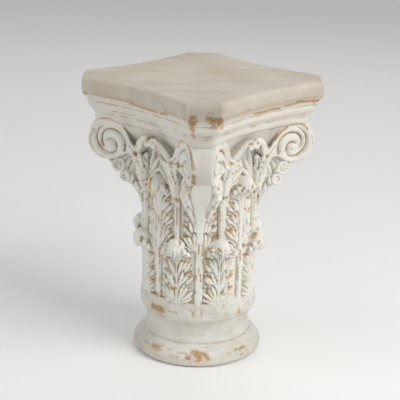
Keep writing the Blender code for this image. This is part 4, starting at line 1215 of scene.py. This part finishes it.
def crevice_glaze_group():
    """Node group: how much brown glaze lies at a point, from its crevices, its hollows and its stain marks, a
    few of which are painted shadow.
    """
    tree, given, made = new_group("crevice glaze", [
        ("Place", 'IN', 'Vector', None), ("Crevice", 'IN', 'Float', 0.0), ("Hollow", 'IN', 'Float', 0.0),
        ("Stain and painted shadow", 'IN', 'Float', 0.0), ("Depth", 'IN', 'Float', 0.35), ("Amount", 'IN', 'Float', 1.0),
        ("Mask", 'OUT', 'Float', None), ("Warmth", 'OUT', 'Float', None)])
    place, stain_and_shadow = given.outputs["Place"], given.outputs["Stain and painted shadow"]
    patches = speckle(tree, place, 45.0)
    crumbs = speckle(tree, place, 260.0, 3.0, 0.65)
    depth = weighted(tree, (given.outputs["Hollow"], 0.12), (given.outputs["Crevice"], 1.0))
    depth = calculate(tree, 'DIVIDE', depth, given.outputs["Depth"])
    broken = ranged(tree, weighted(tree, (patches, 0.65), (crumbs, 0.35)), 0.34, 0.66, -0.45, 0.55)
    pooled = ranged(tree, calculate(tree, 'ADD', depth, broken), 0.35, 1.25)
    pooled = calculate(tree, 'MULTIPLY', pooled, given.outputs["Amount"])
    # Glaze dabbed along the stain marks: mostly stains, and painted shadow down the sides of strips and
    # stalks.
    dabbed = ranged(tree, weighted(tree, (stain_and_shadow, 1.0), (crumbs, 1.6), more=-0.8), 0.2, 1.0)
    dabbed = calculate(tree, 'MULTIPLY', dabbed, ranged(tree, stain_and_shadow, 0.03, 0.3))
    mask = calculate(tree, 'MAXIMUM', pooled, dabbed)
    tree.links.new(calculate(tree, 'MINIMUM', mask, 1.0), made.inputs["Mask"])
    tree.links.new(ranged(tree, patches, 0.47, 0.57), made.inputs["Warmth"])
    return tree


def rubbed_ochre_group():
    """Node group: where the wash is rubbed through to the ochre body, on edges and in named spots."""
    tree, given, made = new_group("rubbed ochre", [
        ("Place", 'IN', 'Vector', None), ("Crevice", 'IN', 'Float', 0.0), ("Spot", 'IN', 'Float', 0.0),
        ("Edge", 'IN', 'Float', 0.5), ("Mask", 'OUT', 'Float', None), ("Depth", 'OUT', 'Float', None)])
    place, spot = given.outputs["Place"], given.outputs["Spot"]
    crumbs = speckle(tree, place, 190.0, 4.0, 0.7)
    patches = speckle(tree, place, 30.0, 2.0)
    fine = speckle(tree, place, 560.0, 2.0, 0.6)
    edge = calculate(tree, 'MULTIPLY', given.outputs["Crevice"], -1.0)
    edge = calculate(tree, 'MINIMUM', calculate(tree, 'DIVIDE', edge, given.outputs["Edge"]), 1.0)
    edge = ranged(tree, weighted(tree, (edge, 1.0), (crumbs, 1.3), (patches, 1.2)), 2.25, 2.8, 0.0, 0.9)
    worn = weighted(tree, (spot, 1.0), (crumbs, 1.3), (fine, 0.9), more=-1.1)
    worn = ranged(tree, worn, 0.12, 0.86, 0.0, 0.96)
    worn = calculate(tree, 'MULTIPLY', worn, ranged(tree, spot, 0.02, 0.3))
    tree.links.new(calculate(tree, 'MAXIMUM', edge, worn), made.inputs["Mask"])
    tree.links.new(ranged(tree, crumbs, 0.45, 0.72), made.inputs["Depth"])
    return tree


GROUP_MAKERS = {"brushed wash": brushed_wash_group, "crevice glaze": crevice_glaze_group,
                "rubbed ochre": rubbed_ochre_group}


def place_group(tree, name, links, **values):
    """A shared node group in a material, built on its first use, with its links and values set."""
    item = tree.nodes.new("ShaderNodeGroup")
    item.node_tree = bpy.data.node_groups.get(name) or GROUP_MAKERS[name]()
    for label, source in links.items():
        tree.links.new(source, item.inputs[label])
    for label, value in values.items():
        item.inputs[label].default_value = value
    return item


def tinted(colour, factor=1.0):
    """A colour times one number or three, with full alpha."""
    return tuple(float(part) for part in np.multiply(colour, factor)) + (1.0,)


def swept_colour(tree, place, wash):
    """The slab's wash in long soft strokes of the brush, cool and pale beside warm and dull."""
    strokes = speckle(tree, stretched(tree, place, (10.0, 48.0, 48.0), math.radians(45)), 1.0, 5.0, 0.62)
    share = weighted(tree, (strokes, 0.5), (speckle(tree, place, 11.0, 2.0), 0.5))
    dull, pale = tinted(wash, (0.84, 0.80, 0.73)), tinted(wash, (1.0, 1.05, 1.07))
    return blend_colour(tree, ranged(tree, share, 0.36, 0.60), dull, pale)


def slab_colour(tree, place, colour):
    """The wash of the slab, which turns into that of the rest of the casting under its lower edge."""
    f = finish()
    colour = blend_colour(tree, 0.7, colour, swept_colour(tree, place, f.slab_wash))
    split = tree.nodes.new("ShaderNodeSeparateXYZ")
    tree.links.new(place, split.inputs[0])
    whiter = ranged(tree, split.outputs["Z"], 0.4530, 0.4505, 0.0, 0.85)
    return blend_colour(tree, whiter, colour, blend_colour(tree, 0.25, tinted(f.wash), colour))


def painted(name, thick, thin, cover, glaze_depth, glaze_amount, edge, slab=False):
    """A worn whitewash, with glaze in its crevices, grey-brown painted shade and grime where the shade marks
    lie, and the ochre body where it is rubbed through.

    glaze_depth is the depth of crevice that fills with glaze, and edge the height of one that is rubbed bare.
    """
    if name in bpy.data.materials:
        return bpy.data.materials[name]
    f = finish()
    material = bpy.data.materials.new(name)
    material.use_nodes = True
    tree = material.node_tree
    shader = tree.nodes["Principled BSDF"]
    place = tree.nodes.new("ShaderNodeTexCoord").outputs["Object"]
    measured = {}
    for label in ("crevice", "hollow", "rubbed", "stains_and_painted_shadow", "shaded"):
        item = tree.nodes.new("ShaderNodeAttribute")
        item.attribute_name = label
        measured[label] = item.outputs["Fac"]
    wash = place_group(tree, "brushed wash", {"Place": place}, Thick=thick, Thin=thin, Cover=cover)
    glaze = place_group(tree, "crevice glaze",
                        {"Place": place, "Crevice": measured["crevice"], "Hollow": measured["hollow"],
                         "Stain and painted shadow": measured["stains_and_painted_shadow"]}, Depth=glaze_depth, Amount=glaze_amount)
    ochre = place_group(tree, "rubbed ochre", {"Place": place, "Crevice": measured["crevice"],
                                               "Spot": measured["rubbed"]}, Edge=edge)
    brown, warm, shade_wash = tinted(f.glaze), tinted(f.ochre), tinted(f.wash_shade)
    gold = tinted(f.ochre, (2.0, 2.3, 2.2))
    colour = wash.outputs["Color"]
    if slab:
        colour = slab_colour(tree, place, colour)
    # Painted shade, partly grime: the shade marks darken the wash and the bare ochre towards grey-brown in
    # the recesses, under the moulding, on the front rim and on the dimmer parts of the foot.
    shade = calculate(tree, 'MULTIPLY', measured["shaded"], 0.5)
    colour = blend_colour(tree, shade, colour, blend_colour(tree, 0.5, shade_wash, brown))
    dust = blend_colour(tree, 0.35, tinted(f.glaze, 2.0), shade_wash)
    dirt = blend_colour(tree, 0.15, blend_colour(tree, glaze.outputs["Warmth"], dust, warm), brown)
    colour = blend_colour(tree, glaze.outputs["Mask"], colour, dirt)
    bare = blend_colour(tree, shade, blend_colour(tree, ochre.outputs["Depth"], warm, gold), brown)
    colour = blend_colour(tree, ochre.outputs["Mask"], colour, bare)
    tree.links.new(colour, shader.inputs["Base Color"])
    tree.links.new(ranged(tree, ochre.outputs["Mask"], 0.0, 1.0, f.roughness, 0.55),
                   shader.inputs["Roughness"])
    shader.inputs["Specular IOR Level"].default_value = 0.3
    shader.inputs["Metallic"].default_value = 0.0
    bump = tree.nodes.new("ShaderNodeBump")
    bump.inputs["Strength"].default_value = 0.35
    bump.inputs["Distance"].default_value = 0.0006
    tree.links.new(weighted(tree, (ochre.outputs["Mask"], -0.7), (wash.outputs["Height"], 1.0)),
                   bump.inputs["Height"])
    tree.links.new(bump.outputs["Normal"], shader.inputs["Normal"])
    return material


def carved_wash():
    """Whitewash of the carving, with glaze in its crevices."""
    f = finish()
    return painted("carved wash", tinted(f.wash, 1.05), tinted(f.wash_shade), cover=0.72, glaze_depth=0.52,
                   glaze_amount=0.58, edge=0.42)


def slab_wash():
    """The warmer, smoother wash of the slab and its moulding."""
    f = finish()
    return painted("slab wash", tinted(f.slab_wash), tinted(f.slab_wash, 0.78), cover=0.64, glaze_depth=0.30,
                   glaze_amount=0.5, edge=0.34, slab=True)


def turned_wash():
    """The streaked wash of the foot, neck and collar."""
    f = finish()
    return painted("turned wash", tinted(f.wash, 0.96), tinted(f.wash_shade), cover=0.56, glaze_depth=0.40,
                   glaze_amount=0.4, edge=0.5)


def scroll_wash():
    """The wash of the scrolls, with glaze in their grooves."""
    f = finish()
    return painted("scroll wash", tinted(f.wash), tinted(f.wash_shade), cover=0.64, glaze_depth=0.40,
                   glaze_amount=0.85, edge=0.40)


class PEDESTAL_OT_slab(bpy.types.Operator):
    """Make the top slab with its hollow sides, cut corners and moulding"""
    bl_idname = "pedestal.slab"
    bl_label = "Slab and moulding"

    def execute(self, context):
        add_piece("slab_and_moulding", slab_body(), slab_wash())
        return {'FINISHED'}


class PEDESTAL_OT_foot(bpy.types.Operator):
    """Turn the foot, the neck and the collar"""
    bl_idname = "pedestal.foot"
    bl_label = "Foot, neck and collar"

    def execute(self, context):
        add_piece("turned_foot", foot_body(), turned_wash())
        return {'FINISHED'}


class PEDESTAL_OT_bell(bpy.types.Operator):
    """Carve the leaves, ribs and stalks on the bell"""
    bl_idname = "pedestal.bell"
    bl_label = "Leaves on the bell"

    def execute(self, context):
        add_drum("lower_carving", low=102, high=236, rows=112, columns=560)
        add_drum("upper_carving", low=235.5, high=406, rows=140, columns=560)
        return {'FINISHED'}


class PEDESTAL_OT_hoods(bpy.types.Operator):
    """Curl the tips of the lower leaves and of the leaves in the middle of the sides"""
    bl_idname = "pedestal.hoods"
    bl_label = "Curled leaf tips"

    def execute(self, context):
        bodies = []
        for index, turn in enumerate(LEAF_TURNS):
            bodies += hood_body(turn, LEAF_TIP_RISES[index], LEAF_TIP_REACHES[index], 14.4, 100 + index)
        add_piece("lower_leaf_tips", joined(bodies), carved_wash())
        bodies = []
        for index, turn in enumerate(SIDES):
            bodies += hood_body(turn, SIDE_TIP_RISE, 0.9, 15.4, 120 + index)
        add_piece("side_leaf_tips", joined(bodies), carved_wash())
        return {'FINISHED'}


class PEDESTAL_OT_corner_leaves(bpy.types.Operator):
    """Make the leaf under each corner scroll"""
    bl_idname = "pedestal.corner_leaves"
    bl_label = "Corner leaves"

    def execute(self, context):
        for index, turn in enumerate(CORNERS):
            add_piece(f"corner_leaf_{index + 1}", joined(corner_leaf_body(turn, 140 + index)), carved_wash())
        return {'FINISHED'}


class PEDESTAL_OT_scrolls(bpy.types.Operator):
    """Wind the corner scrolls"""
    bl_idname = "pedestal.scrolls"
    bl_label = "Corner scrolls"

    def execute(self, context):
        for index, turn in enumerate(CORNERS):
            add_piece(f"corner_scroll_{index + 1}", corner_scroll_body(turn, 160 + index), scroll_wash())
        return {'FINISHED'}


class PEDESTAL_OT_small_scrolls(bpy.types.Operator):
    """Wind the small scrolls that meet at the middle of each side"""
    bl_idname = "pedestal.small_scrolls"
    bl_label = "Small scrolls"

    def execute(self, context):
        bodies = []
        for turn in SIDES:
            bodies += helix_body(turn, -1) + helix_body(turn, 1)
        add_piece("small_scrolls", joined(bodies), scroll_wash())
        return {'FINISHED'}


class PEDESTAL_OT_cups(bpy.types.Operator):
    """Make the leafy cups that the scrolls grow from"""
    bl_idname = "pedestal.cups"
    bl_label = "Cups"

    def execute(self, context):
        bodies = [cup_body(turn, 200 + index) for index, turn in enumerate(LEAF_TURNS)]
        add_piece("stalk_cups", joined(bodies), carved_wash())
        return {'FINISHED'}


def floor_material(colour):
    """A plain matt material for the floor, with a faint unevenness."""
    material = bpy.data.materials.new("studio floor")
    material.use_nodes = True
    tree = material.node_tree
    shader = tree.nodes["Principled BSDF"]
    cloud = speckle(tree, tree.nodes.new("ShaderNodeTexCoord").outputs["Object"], 3.0, 2.0)
    tree.links.new(blend_colour(tree, cloud, tinted(colour, 0.985), tinted(colour)),
                   shader.inputs["Base Color"])
    shader.inputs["Roughness"].default_value = 0.9
    return material


def aim(item, target):
    """Point a light at a place."""
    direction = Vector(target) - item.location
    item.rotation_euler = direction.to_track_quat('-Z', 'Y').to_euler()


class PEDESTAL_OT_stage(bpy.types.Operator):
    """Set out the floor, the lights and the camera"""
    bl_idname = "pedestal.stage"
    bl_label = "Floor, lights and camera"

    def execute(self, context):
        settings = context.scene.pedestal_stage
        bpy.ops.mesh.primitive_plane_add(size=12.0, location=(0, 0, 0))
        floor = context.object
        floor.name = "studio_floor"
        floor.data.materials.append(floor_material(settings.floor))
        world = bpy.data.worlds.new("studio surround")
        world.use_nodes = True
        sky = world.node_tree.nodes["Background"]
        sky.inputs["Color"].default_value = (1.0, 0.995, 0.985, 1)
        sky.inputs["Strength"].default_value = settings.surround
        context.scene.world = world
        for name, place, size, power, colour in (
                ("key", (2.0, 0.3, 1.9), 1.6, settings.key_light, (1.0, 0.99, 0.97)),
                ("fill", (-1.2, -2.0, 1.1), 1.8, settings.fill_light, (0.97, 0.985, 1.0)),
                ("back", (-1.3, 1.6, 2.0), 2.0, 0.6 * settings.fill_light, (1.0, 1.0, 1.0))):
            light = bpy.data.lights.new(f"{name} light", 'AREA')
            light.size = size
            light.energy = power
            light.color = colour
            item = bpy.data.objects.new(f"{name} light", light)
            item.location = place
            context.scene.collection.objects.link(item)
            aim(item, (0, 0, 0.25))
        lens = bpy.data.cameras.new("camera")
        lens.lens = settings.lens
        lens.sensor_width = 36.0
        lens.shift_x, lens.shift_y = -0.4 / IMAGE_WIDTH, 0.1 / IMAGE_WIDTH
        lens.clip_end = 50.0
        camera = bpy.data.objects.new("camera", lens)
        # The camera's place and turn, fitted to the outline of the pedestal in the photo
        pitch, roll, yaw, stand = 0.3175, 0.0236, 0.0004, math.radians(-45.84)
        distance, height = 1.9806, 0.9141
        place = (distance * math.cos(stand), distance * math.sin(stand), height)
        camera.matrix_world = (Matrix.Translation(place)
                               @ Matrix.Rotation(stand + math.pi / 2 - yaw, 4, 'Z')
                               @ Matrix.Rotation(math.pi / 2 - pitch, 4, 'X')
                               @ Matrix.Rotation(roll, 4, 'Z'))
        context.scene.collection.objects.link(camera)
        context.scene.camera = camera
        context.scene.view_settings.view_transform = 'Standard'
        return {'FINISHED'}


OPERATORS = (PEDESTAL_OT_slab, PEDESTAL_OT_foot, PEDESTAL_OT_bell, PEDESTAL_OT_hoods,
             PEDESTAL_OT_corner_leaves, PEDESTAL_OT_scrolls, PEDESTAL_OT_small_scrolls, PEDESTAL_OT_cups,
             PEDESTAL_OT_stage)


class PEDESTAL_PT_sidebar(bpy.types.Panel):
    """Lists the pedestal's pieces, sizes and colours"""
    bl_idname = "PEDESTAL_PT_sidebar"
    bl_label = "Pedestal"
    bl_space_type = 'VIEW_3D'
    bl_region_type = 'UI'
    bl_category = "Pedestal"

    def draw(self, context):
        for group in (context.scene.pedestal_sizes, context.scene.pedestal_finish,
                      context.scene.pedestal_stage):
            box = self.layout.box()
            for name in group.__annotations__:
                box.prop(group, name)
        for operator in OPERATORS:
            self.layout.operator(operator.bl_idname)


CLASSES = (PedestalSizes, PedestalFinish, PedestalStage) + OPERATORS + (PEDESTAL_PT_sidebar,)


def register():
    """Register the classes and hang the settings on the scene."""
    for item in CLASSES:
        bpy.utils.register_class(item)
    bpy.types.Scene.pedestal_sizes = bpy.props.PointerProperty(type=PedestalSizes)
    bpy.types.Scene.pedestal_finish = bpy.props.PointerProperty(type=PedestalFinish)
    bpy.types.Scene.pedestal_stage = bpy.props.PointerProperty(type=PedestalStage)


def unregister():
    """Take the settings and the classes away again."""
    for name in ("pedestal_stage", "pedestal_finish", "pedestal_sizes"):
        delattr(bpy.types.Scene, name)
    for item in reversed(CLASSES):
        bpy.utils.unregister_class(item)


def main():
    """Make every piece and the stage."""
    register()
    for operator in OPERATORS:
        area, name = operator.bl_idname.split(".")
        getattr(getattr(bpy.ops, area), name)()


if __name__ == "__main__":
    main()
